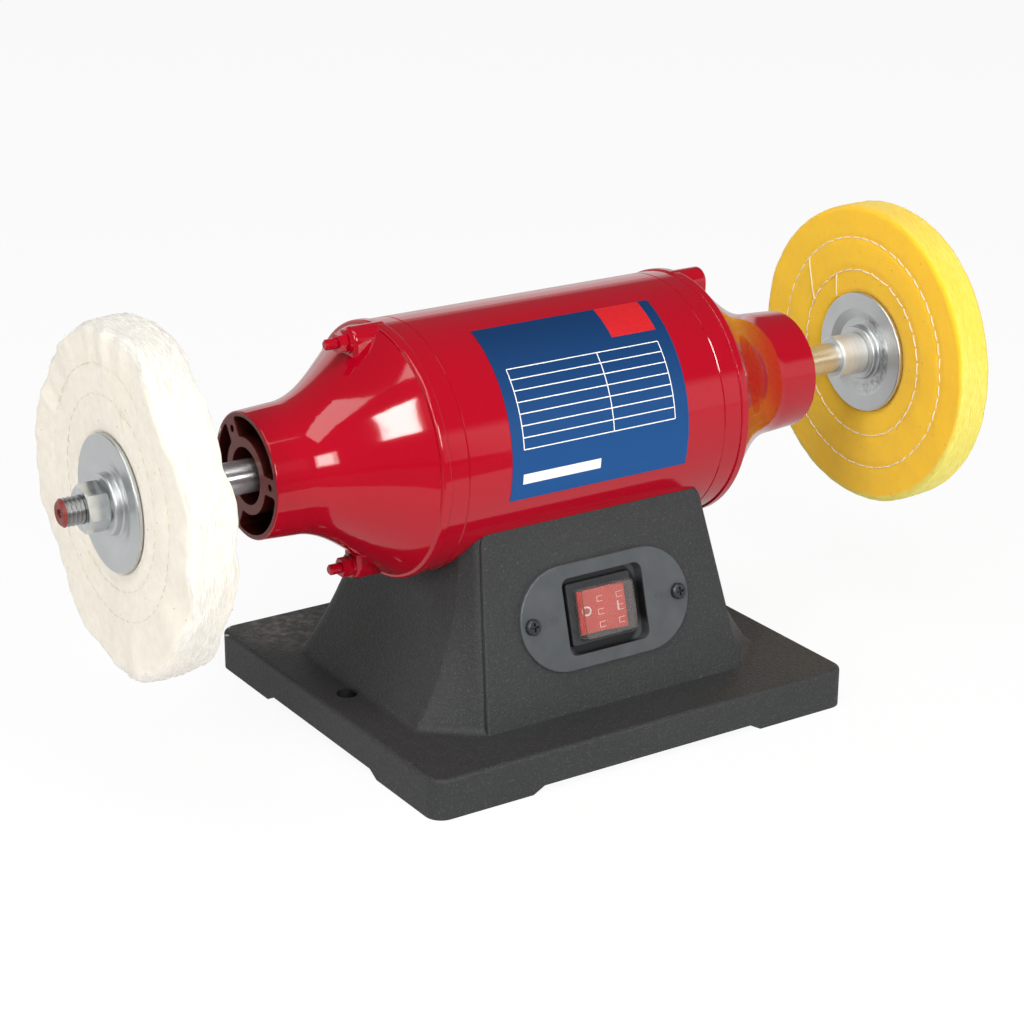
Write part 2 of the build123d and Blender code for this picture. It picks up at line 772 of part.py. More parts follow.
# Switch body with its bezel, the well for the rocker and two pivot holes
with BuildPart() as switch_body:
    with BuildSketch(switch_plane.offset(recess_floor_level)):
        RectangleRounded(bezel_length, bezel_height, bezel_corner)
    extrude(amount=bezel_thickness)
    fillet(
        switch_body.faces().sort_by(Axis(switch_plane.origin, pad_normal))[-1].edges(),
        bezel_corner / 2,
    )
    with BuildSketch(switch_plane.offset(recess_floor_level)):
        Rectangle(switch_body_length, switch_body_height)
    extrude(amount=-switch_body_depth)
    with BuildSketch(switch_plane.offset(bezel_face)):
        Rectangle(rocker_well_length, rocker_height + 2 * rocker_side_gap)
    extrude(amount=-rocker_well_depth, mode=Mode.SUBTRACT)
    with BuildSketch(rocker_plane):
        Circle(rocker_pin_dia / 2 + rocker_pin_fit)
    extrude(amount=rocker_pin_reach + rocker_pin_fit, both=True, mode=Mode.SUBTRACT)

save(switch_body, "switch_body")

with BuildPart() as switch_terminals:
    with BuildSketch(switch_plane.offset(recess_floor_level - switch_body_depth)):
        with GridLocations(tab_pitch_x, tab_pitch_y, 2, 2):
            Rectangle(tab_thickness, tab_width)
    extrude(amount=-tab_length)

save(switch_terminals, "switch_terminals")

# Rocker, at rest with its off end pressed in
with BuildPart() as rocker:
    with BuildSketch(rocker_rest_plane) as rocker_outline:
        Circle(rocker_radius)
        with BuildLine():
            Polyline(
                (-rocker_radius, -rocker_skirt),
                (rocker_radius, -rocker_skirt),
                (rocker_radius, rocker_crest),
                (0, rocker_valley),
                (-rocker_radius, rocker_crest),
                close=True,
            )
        make_face(mode=Mode.INTERSECT)
        fillet(rocker_outline.vertices().group_by(Axis.Y)[-1], rocker_round)
    extrude(amount=rocker_height / 2, both=True)
    with BuildSketch(rocker_plane):
        Circle(rocker_pin_dia / 2)
    extrude(amount=rocker_pin_reach, both=True)

save(rocker, "rocker")

# Clear splash cover over the rocker
with BuildPart() as switch_cover:
    with BuildSketch(switch_plane.offset(bezel_face)):
        RectangleRounded(cover_length, cover_height, cover_corner)
    extrude(amount=cover_rise)
    fillet(
        switch_cover.faces().sort_by(Axis(switch_plane.origin, pad_normal))[-1].edges(),
        cover_corner / 2,
    )
    with BuildSketch(switch_plane.offset(bezel_face)):
        RectangleRounded(
            cover_length - 2 * cover_wall,
            cover_height - 2 * cover_wall,
            cover_corner - cover_wall,
        )
    extrude(amount=cover_rise - cover_wall, mode=Mode.SUBTRACT)

save(switch_cover, "switch_cover")

# Rolled steel motor drum, with its rating label
with BuildPart() as motor_drum:
    revolve(ring(1, -drum_half_length, drum_half_length, drum_bore, drum_radius), axis=spindle_axis)
    chamfer(
        motor_drum.edges().filter_by(lambda edge: abs(edge.length - 2 * pi * drum_radius) < 0.01),
        seam_chamfer,
    )
    for plane in drum_screw_planes():
        with BuildSketch(plane):
            Circle(drum_screw_dia / 2 + drum_screw_clearance)
        extrude(amount=drum_radius + drum_wall, mode=Mode.SUBTRACT)
    with BuildSketch(lead_plane):
        Circle(lead_hole_dia / 2 + grommet_gap)
    extrude(amount=drum_radius + drum_wall, mode=Mode.SUBTRACT)

save(motor_drum, "motor_drum")

with BuildPart() as rating_label:
    top = radians(label_top_angle)
    with BuildSketch(Plane((0, 0, spindle_height), x_dir=(1, 0, 0), z_dir=(0, -sin(top), -cos(top)))):
        with Locations((0, drum_radius + label_gap + label_thickness / 2)):
            Rectangle(label_length, label_thickness)
    revolve(axis=spindle_axis, revolution_arc=label_top_angle - label_bottom_angle)

save(rating_label, "rating_label")

# Screws up through the saddle into nuts welded inside the drum
with BuildPart() as drum_screws:
    for plane in drum_screw_planes():
        with BuildSketch(plane.offset(saddle_radius + pedestal_roof - drum_spot_face)):
            RegularPolygon(drum_screw_head_flats / 2, 6, major_radius=False)
        extrude(amount=drum_screw_head)
        with BuildSketch(plane.offset(weld_nut_face - weld_nut_thickness)):
            Circle(drum_screw_dia / 2)
        extrude(amount=saddle_radius + pedestal_roof - drum_spot_face - weld_nut_face + weld_nut_thickness)

save(drum_screws, "drum_screws")

with BuildPart() as drum_weld_nuts:
    for plane in drum_screw_planes():
        with BuildSketch(plane.offset(weld_nut_face)):
            Rectangle(drum_screw_head_flats, drum_screw_head_flats)
            Circle(drum_screw_dia / 2 + screw_hole_gap, mode=Mode.SUBTRACT)
        extrude(amount=-weld_nut_thickness)

save(drum_weld_nuts, "drum_weld_nuts")

# Grommet that the motor leads pass through, from the drum into the base
with BuildPart() as lead_grommet:
    with BuildSketch(lead_plane.offset(drum_bore - drum_wall)):
        Circle(lead_hole_dia / 2)
    extrude(amount=pedestal_roof + saddle_gap + 2 * drum_wall)
    with BuildSketch(lead_plane.offset(saddle_radius + pedestal_roof)):
        Circle(lead_flange_dia / 2)
    extrude(amount=lead_flange)
    with BuildSketch(lead_plane):
        Circle(lead_bore_dia / 2)
    extrude(amount=2 * saddle_radius, mode=Mode.SUBTRACT)

save(lead_grommet, "lead_grommet")

# End bells: flared castings that carry the bearings and close the drum
rib_start = bell_boss_radius - bell_rib_bite
rib_end = bell_end_radius - bell_end_wall / 2
rib_middle = (rib_start + rib_end) / 2
for side, end in ends:
    pocket_floor = bearing_outer_face + (washer_thickness if side > 0 else 0)
    rib_plane = Plane((side * recess_floor, 0, spindle_height), x_dir=(0, -1, 0), z_dir=(side, 0, 0))
    lug_plane = Plane((side * bell_bead_start, 0, spindle_height), x_dir=(0, -1, 0), z_dir=(side, 0, 0))
    with BuildPart() as lugs:
        with BuildSketch(lug_plane):
            with GridLocations(0, 2 * rod_circle_radius, 1, 2):
                Circle(lug_radius)
            with GridLocations(0, 2 * rod_circle_radius - lug_foot, 1, 2):
                Rectangle(2 * lug_radius, lug_foot)
        extrude(amount=lug_face - bell_bead_start)
        fillet(lugs.edges().group_by(Axis((0, 0, 0), (side, 0, 0)))[-1], lug_round)

    with BuildPart() as end_bell:
        with BuildSketch(end_plane(side)):
            with BuildLine():
                Polyline(
                    (drum_half_length - bell_spigot, 0),
                    (drum_half_length - bell_spigot, drum_bore - bell_spigot_gap),
                    (drum_half_length, drum_bore - bell_spigot_gap),
                    (drum_half_length, drum_radius - seam_chamfer),
                    (drum_half_length + seam_chamfer, drum_radius),
                    (bell_bead_start, drum_radius),
                    (bell_bead_start, rim_radius),
                    (bell_rim_end, rim_radius),
                    (bell_flare_start, flare_radius),
                )
                Bezier(*flare_points(0))
                Polyline(
                    (bell_neck_start, bell_neck_radius),
                    (bell_end, bell_end_radius),
                    (bell_end, 0),
                    (drum_half_length - bell_spigot, 0),
                )
            make_face()
        revolve(axis=spindle_axis)
        outward = Axis((0, 0, spindle_height), (side, 0, 0))
        for corner, bead_round in ((0, bell_bead_round), (-1, bell_rim_round)):
            circles = end_bell.edges().filter_by(GeomType.CIRCLE)
            bead = circles.filter_by(lambda edge: abs(edge.radius - rim_radius) < 0.01)
            fillet(bead.sort_by(outward)[corner], bead_round)
        fillet(
            end_bell.edges().filter_by(lambda edge: abs(edge.length - 2 * pi * bell_end_radius) < 0.01),
            bell_end_round,
        )
        # Motor cavity, bearing housing and shaft bore
        with BuildSketch(end_plane(side)):
            with BuildLine():
                inside = flare_points(-flare_shift)
                Polyline(
                    (inside[3][0], 0),
                    (drum_half_length - bell_spigot, 0),
                    (drum_half_length - bell_spigot, drum_bore - bell_wall),
                    (drum_half_length, drum_bore - bell_wall),
                    inside[0],
                )
                Bezier(*inside)
                Line(inside[3], (inside[3][0], 0))
            make_face()
            with Locations((pocket_floor + bell_end / 2, 0)):
                Rectangle(bell_end, bell_end, mode=Mode.SUBTRACT)
        revolve(axis=spindle_axis, mode=Mode.SUBTRACT)
        revolve(
            ring(side, bearing_inner_face, pocket_floor, bearing_od / 2 + bearing_fit,
                 bearing_od / 2 + bearing_housing_wall),
            axis=spindle_axis,
        )
        revolve(
            ring(side, pocket_floor, bell_end, 0, bell_boss_bore / 2),
            axis=spindle_axis,
            mode=Mode.SUBTRACT,
        )
        # Open recess in the neck, crossed by ribs with screw holes
        revolve(
            ring(side, recess_floor, bell_end, bell_boss_radius, bell_end_radius - bell_end_wall),
            axis=spindle_axis,
            mode=Mode.SUBTRACT,
        )
        with BuildSketch(rib_plane):
            with PolarLocations(rib_middle, bell_rib_count, start_angle=-side * bell_rib_phase):
                Rectangle(rib_end - rib_start, bell_rib_width)
        extrude(amount=bell_end - recess_floor)
        corners = end_bell.edges().filter_by(Axis.X).filter_by(
            lambda edge: abs(edge.length - bell_end + recess_floor) < 0.01
        )
        fillet(corners, bell_rib_round)
        with BuildSketch(rib_plane.offset(bell_end - recess_floor)):
            with PolarLocations(guard_hole_circle / 2, bell_rib_count, start_angle=-side * bell_rib_phase):
                Circle(guard_hole_dia / 2)
        extrude(amount=-guard_hole_depth, mode=Mode.SUBTRACT)
        # Lugs for the tie rods at top and bottom: drilled through on the left, blind on the right
        add(lugs.part)
        with BuildSketch(lug_plane.offset(-bell_bead_start)):
            with GridLocations(0, 2 * rod_circle_radius, 1, 2):
                Circle(rod_dia / 2 + rod_clearance)
        extrude(amount=lug_face if side < 0 else lug_face - lug_floor, mode=Mode.SUBTRACT)
    save(end_bell, f"{end}_end_bell")

# Tie rods through the drum, with painted flange nuts on the left lugs
with BuildPart() as tie_rods:
    with BuildSketch(Plane((-lug_face - rod_stub - rod_nut, 0, spindle_height), z_dir=(1, 0, 0))):
        with GridLocations(2 * rod_circle_radius, 0, 2, 1):
            Circle(rod_dia / 2)
    extrude(amount=2 * lug_face + rod_stub + rod_nut - lug_floor - rod_end_gap)
    chamfer(tie_rods.edges().group_by(Axis.X)[0], rod_chamfer)

save(tie_rods, "tie_rods")

with BuildPart() as tie_rod_nuts:
    nut_plane = Plane((-lug_face, 0, spindle_height), x_dir=(0, 1, 0), z_dir=(-1, 0, 0))
    with BuildSketch(nut_plane):
        with GridLocations(0, 2 * rod_circle_radius, 1, 2):
            Circle(rod_nut_flange_dia / 2)
    extrude(amount=rod_nut_flange)
    with BuildSketch(nut_plane):
        with GridLocations(0, 2 * rod_circle_radius, 1, 2):
            RegularPolygon(rod_nut_flats / 2, 6, major_radius=False)
    extrude(amount=rod_nut)
    with BuildSketch(nut_plane):
        with GridLocations(0, 2 * rod_circle_radius, 1, 2):
            Circle(rod_dia / 2 + screw_hole_gap)
    extrude(amount=rod_nut, mode=Mode.SUBTRACT)

save(tie_rod_nuts, "tie_rod_nuts")

# Stator: slotted core pressed into the drum, notched for the tie rods, and its winding
core_plane = Plane((-stack_half_length, 0, spindle_height), x_dir=(0, 1, 0), z_dir=(1, 0, 0))
slot_bottom = stator_bore + slot_tip + slot_depth
with BuildPart() as stator_core:
    revolve(
        ring(1, -stack_half_length, stack_half_length, stator_bore, drum_bore - stator_fit),
        axis=spindle_axis,
    )
    with BuildSketch(core_plane):
        with PolarLocations(slot_bottom - slot_depth / 2, slot_count):
            Rectangle(slot_depth, slot_width)
        with PolarLocations(stator_bore, slot_count):
            Rectangle(3 * slot_tip, slot_mouth)
        with GridLocations(0, 2 * drum_radius, 1, 2):
            Rectangle(rod_notch, 2 * (drum_radius - rod_circle_radius) + rod_notch)
    extrude(amount=2 * stack_half_length, mode=Mode.SUBTRACT)

save(stator_core, "stator_core")

with BuildPart() as stator_winding:
    with BuildSketch(core_plane.offset(-end_turn_gap - end_turn_length / 2)):
        with PolarLocations(slot_bottom - slot_depth / 2, slot_count):
            Rectangle(slot_depth - 2 * slot_lining, slot_width - 2 * slot_lining)
    extrude(amount=2 * stack_half_length + 2 * end_turn_gap + end_turn_length)
    for side, end in ends:
        start = stack_half_length + end_turn_gap
        revolve(
            ring(side, start, start + end_turn_length, end_turn_inner, end_turn_outer),
            axis=spindle_axis,
        )
    outer_edges = stator_winding.edges().filter_by(GeomType.CIRCLE).group_by(Axis.X)
    fillet(outer_edges[0] + outer_edges[-1], end_turn_round)

save(stator_winding, "stator_winding")

# Rotor: laminated core and cast aluminium cage
bar_circle = rotor_radius - rotor_bar_cover - rotor_bar_dia / 2
with BuildPart() as rotor_core:
    revolve(
        ring(1, -stack_half_length, stack_half_length, spindle_core_dia / 2 + rotor_fit, rotor_radius),
        axis=spindle_axis,
    )
    with BuildSketch(core_plane):
        with PolarLocations(bar_circle, rotor_bar_count):
            Circle(rotor_bar_dia / 2 + rotor_bar_fit)
    extrude(amount=2 * stack_half_length, mode=Mode.SUBTRACT)

save(rotor_core, "rotor_core")

with BuildPart() as rotor_cage:
    with BuildSketch(core_plane.offset(-rotor_end_ring / 2)):
        with PolarLocations(bar_circle, rotor_bar_count):
            Circle(rotor_bar_dia / 2)
    extrude(amount=2 * stack_half_length + rotor_end_ring)
    for side, end in ends:
        cage_outer = rotor_radius - rotor_end_ring_inset
        revolve(
            ring(side, stack_half_length, stack_half_length + rotor_end_ring,
                 cage_outer - rotor_end_ring_width, cage_outer),
            axis=spindle_axis,
        )

save(rotor_cage, "rotor_cage")

# Spindle: rotor seat, bearing journals and a threaded stretch at each end
with BuildPart() as spindle:
    for side, end in ends:
        thread_start = spindle_tip - spindle_tip_chamfer - thread_turns * thread_pitch
        crest = spindle_thread_dia / 2
        thread = []
        for turn in range(thread_turns):
            station = thread_start + turn * thread_pitch
            thread.append((station, crest))
            thread.append((station + thread_pitch / 8, crest))
            thread.append((station + thread_pitch * 9 / 16, crest - thread_depth))
        revolve(
            turned(
                side,
                (0, 0),
                (0, spindle_core_dia / 2),
                (bearing_inner_face, spindle_core_dia / 2),
                (bearing_inner_face, spindle_journal_dia / 2),
                (journal_end, spindle_journal_dia / 2),
                (journal_end, crest),
                *thread,
                (spindle_tip - spindle_tip_chamfer, crest),
                (spindle_tip, crest - spindle_tip_chamfer),
                (spindle_tip, centre_hole_dia / 2),
                (spindle_tip - centre_hole_depth, centre_hole_dia / 2),
                (spindle_tip - centre_hole_depth - centre_hole_dia / 4, 0),
            ),
            axis=spindle_axis,
        )

save(spindle, "spindle")

# Ball bearings: rings, balls, cage and seals at each end
ball_circle = (bearing_od + spindle_journal_dia) / 4
inner_ring_radius = spindle_journal_dia / 2 + bearing_ring
outer_ring_radius = bearing_od / 2 - bearing_ring
for side, end in ends:
    bearing_middle = bearing_outer_face - bearing_width / 2
    ball_plane = Plane((side * bearing_middle, 0, spindle_height), x_dir=(0, 1, 0), z_dir=(1, 0, 0))
    with BuildSketch(end_plane(side)) as race:
        with Locations((bearing_middle, ball_circle)):
            Circle(ball_dia / 2 + ball_gap)

    with BuildPart() as outer_ring:
        revolve(
            ring(side, bearing_inner_face, bearing_outer_face, outer_ring_radius, bearing_od / 2),
            axis=spindle_axis,
        )
        revolve(race.sketch, axis=spindle_axis, mode=Mode.SUBTRACT)
    save(outer_ring, f"{end}_bearing_outer_ring")

    with BuildPart() as inner_ring:
        revolve(
            ring(side, bearing_inner_face, bearing_outer_face,
                 spindle_journal_dia / 2 + bearing_fit, inner_ring_radius),
            axis=spindle_axis,
        )
        revolve(race.sketch, axis=spindle_axis, mode=Mode.SUBTRACT)
    save(inner_ring, f"{end}_bearing_inner_ring")

    with BuildPart() as balls:
        with Locations(ball_plane):
            with PolarLocations(ball_circle, ball_count):
                Sphere(ball_dia / 2)
    save(balls, f"{end}_bearing_balls")

    with BuildPart() as cage:
        revolve(
            ring(side, bearing_middle - cage_width / 2, bearing_middle + cage_width / 2,
                 ball_circle - cage_thickness / 2, ball_circle + cage_thickness / 2),
            axis=spindle_axis,
        )
        with Locations(ball_plane):
            with PolarLocations(ball_circle, ball_count):
                Cylinder(
                    ball_dia / 2 + cage_pocket_gap,
                    ball_dia,
                    rotation=(0, 90, 0),
                    mode=Mode.SUBTRACT,
                )
    save(cage, f"{end}_bearing_cage")

    with BuildPart() as seals:
        for face, step in ((bearing_inner_face, 1), (bearing_outer_face, -1)):
            revolve(
                ring(side, face + step * seal_gap, face + step * (seal_gap + seal_thickness),
                     inner_ring_radius + seal_gap, outer_ring_radius - bearing_fit),
                axis=spindle_axis,
            )
    save(seals, f"{end}_bearing_seals")

with BuildPart() as preload_washer:
    revolve(
        ring(1, bearing_outer_face, bearing_outer_face + washer_thickness,
             bearing_od / 2 - washer_width, bearing_od / 2 - washer_gap),
        axis=spindle_axis,
    )

save(preload_washer, "preload_washer")

# Spacer sleeve, flanges, wheel and nut at each end of the spindle
bore = spindle_thread_dia / 2 + spindle_fit
rim = flange_dia / 2
rim_inner = rim - flange_rim_width
dish_outer = rim_inner - flange_dish_run


def flange_outline(face, way):
    """Profile of a dished flange from its outer rim face; way is the direction of the wheel."""
    back = face + way * flange_thickness
    return (
        (face - way * flange_hub_rise, bore),
        (face - way * flange_hub_rise, flange_hub_dia / 2),
        (face + way * flange_dish, flange_hub_dia / 2),
        (face + way * flange_dish, dish_outer),
        (face, rim_inner),
        (face, rim),
        (back, rim),
        (back, rim_inner),
        (back + way * flange_dish, dish_outer),
        (back + way * flange_dish, bore),
    )


def wheel_half(swell):
    """Half profile of a cotton wheel from its middle: pinched by a flange, swollen outside it."""
    pinch = wheel_clamp / 2 - wheel_gap
    face = wheel_clamp / 2 + swell
    run = wheel_swell_run + swell
    return (
        (pinch - flange_dish, wheel_bore_dia / 2),
        (pinch - flange_dish, dish_outer),
        (pinch, rim_inner),
        (pinch, rim + wheel_gap),
        ((pinch + face) / 2 + wheel_gap, rim + run / 3),
        (face, rim + run),
        (face, wheel_dia / 2),
    )


def wheel_outline(swell_in, swell_out):
    """Profile of a cotton wheel, from the motor's side of its bore round to the far side."""
    near = [(wheel_middle - x, r) for x, r in wheel_half(swell_in)]
    far = [(wheel_middle + x, r) for x, r in reversed(wheel_half(swell_out))]
    return near + far


for side, end in ends:
    with BuildPart() as sleeve:
        revolve(ring(side, journal_end, sleeve_end, bore, sleeve_dia / 2), axis=spindle_axis)
        chamfer(
            sleeve.edges().filter_by(lambda edge: abs(edge.length - pi * sleeve_dia) < 0.01),
            sleeve_chamfer,
        )
    save(sleeve, f"{end}_spacer_sleeve")

    for place, face, way in (("inner", inner_rim_face, 1), ("outer", outer_rim_face, -1)):
        with BuildPart() as flange:
            revolve(turned(side, *flange_outline(face, way)), axis=spindle_axis)
            fillet(
                flange.edges().filter_by(lambda edge: abs(edge.length - pi * flange_dia) < 0.01),
                flange_edge_round,
            )
            fillet(
                flange.edges().filter_by(lambda edge: abs(edge.length - pi * flange_hub_dia) < 0.01),
                flange_hub_round,
            )
        save(flange, f"{end}_{place}_flange")

    with BuildPart() as wheel_nut:
        corner = wheel_nut_flats / sqrt(3)
        slope = (corner - wheel_nut_flats / 2) * sin(radians(30))
        with BuildSketch(Plane((side * nut_seat, 0, spindle_height), x_dir=(0, -1, 0), z_dir=(side, 0, 0))):
            RegularPolygon(wheel_nut_flats / 2, 6, major_radius=False, rotation=wheel_nut_turn)
            Circle(bore, mode=Mode.SUBTRACT)
        extrude(amount=wheel_nut_thickness)
        revolve(
            turned(
                side,
                (nut_seat, 0),
                (nut_seat, wheel_nut_flats / 2),
                (nut_seat + slope, corner),
                (nut_end - slope, corner),
                (nut_end, wheel_nut_flats / 2),
                (nut_end, 0),
            ),
            axis=spindle_axis,
            mode=Mode.INTERSECT,
        )
    save(wheel_nut, f"{end}_wheel_nut")

for side, name, swell_in, swell_out in (
    (-1, "white_wheel", white_wheel_swell_in, white_wheel_swell_out),
    (1, "yellow_wheel", yellow_wheel_swell_in, yellow_wheel_swell_out),
):
    with BuildPart() as wheel:
        revolve(turned(side, *wheel_outline(swell_in, swell_out)), axis=spindle_axis)
        fillet(
            wheel.edges().filter_by(lambda edge: abs(edge.length - pi * wheel_dia) < 0.01),
            wheel_rim_round,
        )
    save(wheel, name)
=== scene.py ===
from math import atan2, cos, exp, floor, hypot, pi, radians, sin
from random import Random

import bmesh
import bpy
from mathutils import Matrix, Vector, noise


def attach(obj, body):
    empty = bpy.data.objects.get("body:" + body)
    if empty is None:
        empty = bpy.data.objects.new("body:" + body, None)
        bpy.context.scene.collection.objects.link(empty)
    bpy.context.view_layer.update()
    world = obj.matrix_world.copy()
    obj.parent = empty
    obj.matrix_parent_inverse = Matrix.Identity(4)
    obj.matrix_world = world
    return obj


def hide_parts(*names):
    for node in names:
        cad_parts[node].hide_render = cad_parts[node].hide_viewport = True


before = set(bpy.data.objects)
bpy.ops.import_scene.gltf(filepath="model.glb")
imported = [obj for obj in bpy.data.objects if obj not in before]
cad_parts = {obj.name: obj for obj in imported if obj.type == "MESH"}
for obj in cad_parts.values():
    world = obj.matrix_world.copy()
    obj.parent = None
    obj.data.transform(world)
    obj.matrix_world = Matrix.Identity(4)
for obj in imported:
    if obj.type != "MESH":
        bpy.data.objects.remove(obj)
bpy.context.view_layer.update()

# Studio: white paper, a low white wall round the back and right, and a dark room on the camera's
# side. Three soft boxes light it, and the front one has a bright core. The camera has a long lens
# and stands a little over a metre away.
scene = bpy.context.scene
scene.view_settings.view_transform = "Standard"
camera_place = Vector((-0.6349, -0.9491, 0.5161))
camera_aim = Vector((-0.00341, 0.00913, 0.08656))
camera_roll = radians(0.4)


def aimed(place, aim, roll=0.0):
    """Rotation of a lamp or camera at a place that looks at an aim."""
    look = (Vector(aim) - Vector(place)).to_track_quat("-Z", "Y").to_matrix()
    return (look @ Matrix.Rotation(roll, 3, "Z")).to_euler()


camera = bpy.data.objects.new("camera", bpy.data.cameras.new("camera"))
camera.data.lens = 90.66
camera.data.sensor_width = 36
camera.location = camera_place
camera.rotation_euler = aimed(camera_place, camera_aim, camera_roll)
scene.collection.objects.link(camera)
scene.camera = camera


def srgb(code):
    """Linear colour of an sRGB hex value."""
    parts = [int(code[i : i + 2], 16) / 255 for i in (1, 3, 5)]
    return [c / 12.92 if c <= 0.04045 else ((c + 0.055) / 1.055) ** 2.4 for c in parts] + [1]


def add(tree, kind, inputs=None, **settings):
    """Add a node with its settings, and its inputs from values or from other nodes' outputs."""
    made = tree.nodes.new(kind)
    for name, value in settings.items():
        setattr(made, name, value)
    for name, value in (inputs or {}).items():
        if isinstance(value, bpy.types.NodeSocket):
            tree.links.new(value, made.inputs[name])
        else:
            made.inputs[name].default_value = value
    return made


world = bpy.data.worlds.new("studio_walls")
world.use_nodes = True
scene.world = world
walls = world.node_tree
sight = add(walls, "ShaderNodeTexCoord").outputs["Generated"]
wall_right = (0.866, 0.5, 0)
wall_back = (-0.469, 0.883, 0)
wall_blur = 0.03
wall_top = (0.29, 0.39)
room_glow, wall_glow = 0.14, 0.92


def beyond(tree, place, direction, low, high):
    """Output that rises from 0 to 1 as a place gets further along a direction."""
    along = add(tree, "ShaderNodeVectorMath", {0: place, 1: direction}, operation="DOT_PRODUCT")
    rise = add(
        tree,
        "ShaderNodeMapRange",
        {"Value": along.outputs["Value"], "From Min": low, "From Max": high},
    )
    return rise.outputs["Result"]


walled = add(
    walls,
    "ShaderNodeMath",
    {
        0: beyond(walls, sight, wall_right, -wall_blur, wall_blur),
        1: beyond(walls, sight, wall_back, -wall_blur, wall_blur),
    },
    operation="MAXIMUM",
)
above = beyond(walls, sight, (0, 0, 1), *wall_top)
white_wall = add(walls, "ShaderNodeMath", {0: walled.outputs[0], 1: above}, operation="SUBTRACT")
glow = add(
    walls,
    "ShaderNodeMapRange",
    {"Value": white_wall.outputs[0], "To Min": room_glow, "To Max": wall_glow},
)
walls.links.new(glow.outputs["Result"], walls.nodes["Background"].inputs["Strength"])
walls.nodes["Background"].inputs["Color"].default_value = srgb("#ffffff")

# Each soft box has its place and size in metres, its tilt in degrees and its power in watts
soft_boxes = {
    "key_soft_box": ((-1.38, -0.76, 1.03), (0.2, 0.75), 30, 10.5),
    "front_soft_box": ((-0.09, -1.58, 0.76), (0.96, 0.56), 0, 10.5),
    "front_box_core": ((-0.09, -1.56, 0.76), (0.62, 0.44), 0, 6.0),
    "top_soft_box": ((-0.33, -0.35, 1.6), (1.56, 0.74), 0, 13.0),
}
lamp_aim = (0, 0, 0.12)
for name, (place, size, tilt, power) in soft_boxes.items():
    lamp = bpy.data.objects.new(name, bpy.data.lights.new(name, "AREA"))
    lamp.data.shape = "RECTANGLE"
    lamp.data.size, lamp.data.size_y = size
    lamp.data.energy = power
    lamp.location = place
    lamp.rotation_euler = aimed(place, lamp_aim, radians(tilt))
    scene.collection.objects.link(lamp)


# Floor: a sheet of matt photographic paper on a table, white to the eye, with a soft shadow left
# on it. Reflections see where it ends, at the table's edge in front of the machine.
def finish(name, fixed):
    """New material with fixed values, with its node tree, shader and object coordinates."""
    material = bpy.data.materials.new(name)
    material.use_nodes = True
    tree = material.node_tree
    shader = tree.nodes["Principled BSDF"]
    for socket, value in fixed.items():
        shader.inputs[socket].default_value = value
    return material, tree, shader, add(tree, "ShaderNodeTexCoord").outputs["Object"]


def grained(name, colours, grain, roughness, depth, fixed, stretch=(1, 1, 1)):
    """Material whose colours, roughness and relief follow one noise; grain and depth are in mm."""
    material, tree, shader, place = finish(name, fixed)
    place = add(tree, "ShaderNodeMapping", {"Vector": place, "Scale": stretch}).outputs["Vector"]
    grains = add(
        tree, "ShaderNodeTexNoise", {"Vector": place, "Scale": 1000 / grain, "Detail": 3.0}
    )
    tone = add(
        tree,
        "ShaderNodeMapRange",
        {"Value": grains.outputs["Fac"], "From Min": 0.3, "From Max": 0.7},
    ).outputs["Result"]
    first, second = colours
    colour = add(
        tree, "ShaderNodeMix", {0: tone, 6: srgb(first), 7: srgb(second)}, data_type="RGBA"
    )
    gloss = add(
        tree,
        "ShaderNodeMapRange",
        {"Value": tone, "To Min": roughness[0], "To Max": roughness[1]},
    )
    relief = add(tree, "ShaderNodeBump", {"Height": tone, "Distance": depth / 1000})
    tree.links.new(colour.outputs[2], shader.inputs["Base Color"])
    tree.links.new(gloss.outputs["Result"], shader.inputs["Roughness"])
    tree.links.new(relief.outputs["Normal"], shader.inputs["Normal"])
    return material


def piece_of(mesh, name, *materials):
    """Object at the origin from a finished mesh."""
    for material in materials:
        mesh.materials.append(material)
    made = bpy.data.objects.new(name, mesh)
    scene.collection.objects.link(made)
    return made


def piece_from(bm, name, *materials):
    """Object at the origin from a finished bmesh."""
    mesh = bpy.data.meshes.new(name)
    bm.to_mesh(mesh)
    bm.free()
    return piece_of(mesh, name, *materials)


paper_white = 0.92
table_inward = (0.303, 0.953, 0)
table_edge = (-0.39, -0.38)
wall_foot = 0.02
dark_mirrored, paper_mirrored = 0.06, 0.72
# Matt paper: an even white without any shine
floor_paper = grained("matt_paper", ("#f7f7f7", "#fbfbfb"), 2.0, (0.9, 0.95), 0.02, {})
tree = floor_paper.node_tree
rays = add(tree, "ShaderNodeLightPath").outputs
mirrored = add(
    tree,
    "ShaderNodeMath",
    {0: rays["Is Glossy Ray"], 1: rays["Is Transmission Ray"]},
    operation="MAXIMUM",
)
seen = add(
    tree, "ShaderNodeMath", {0: rays["Is Camera Ray"], 1: mirrored.outputs[0]}, operation="MAXIMUM"
)
whiteness = add(
    tree, "ShaderNodeMath", {0: seen.outputs[0], 1: paper_white}, operation="MULTIPLY"
)
place = add(tree, "ShaderNodeTexCoord").outputs["Object"]
on_table = beyond(tree, place, table_inward, *table_edge)
by_wall = beyond(tree, place, wall_right, -wall_foot, wall_foot)
lit = add(tree, "ShaderNodeMath", {0: on_table, 1: by_wall}, operation="MAXIMUM")
mirror_glow = add(
    tree,
    "ShaderNodeMapRange",
    {"Value": lit.outputs[0], "To Min": dark_mirrored, "To Max": paper_mirrored},
)
strength = add(
    tree,
    "ShaderNodeMath",
    {0: rays["Is Camera Ray"], 1: mirror_glow.outputs["Result"]},
    operation="MAXIMUM",
)
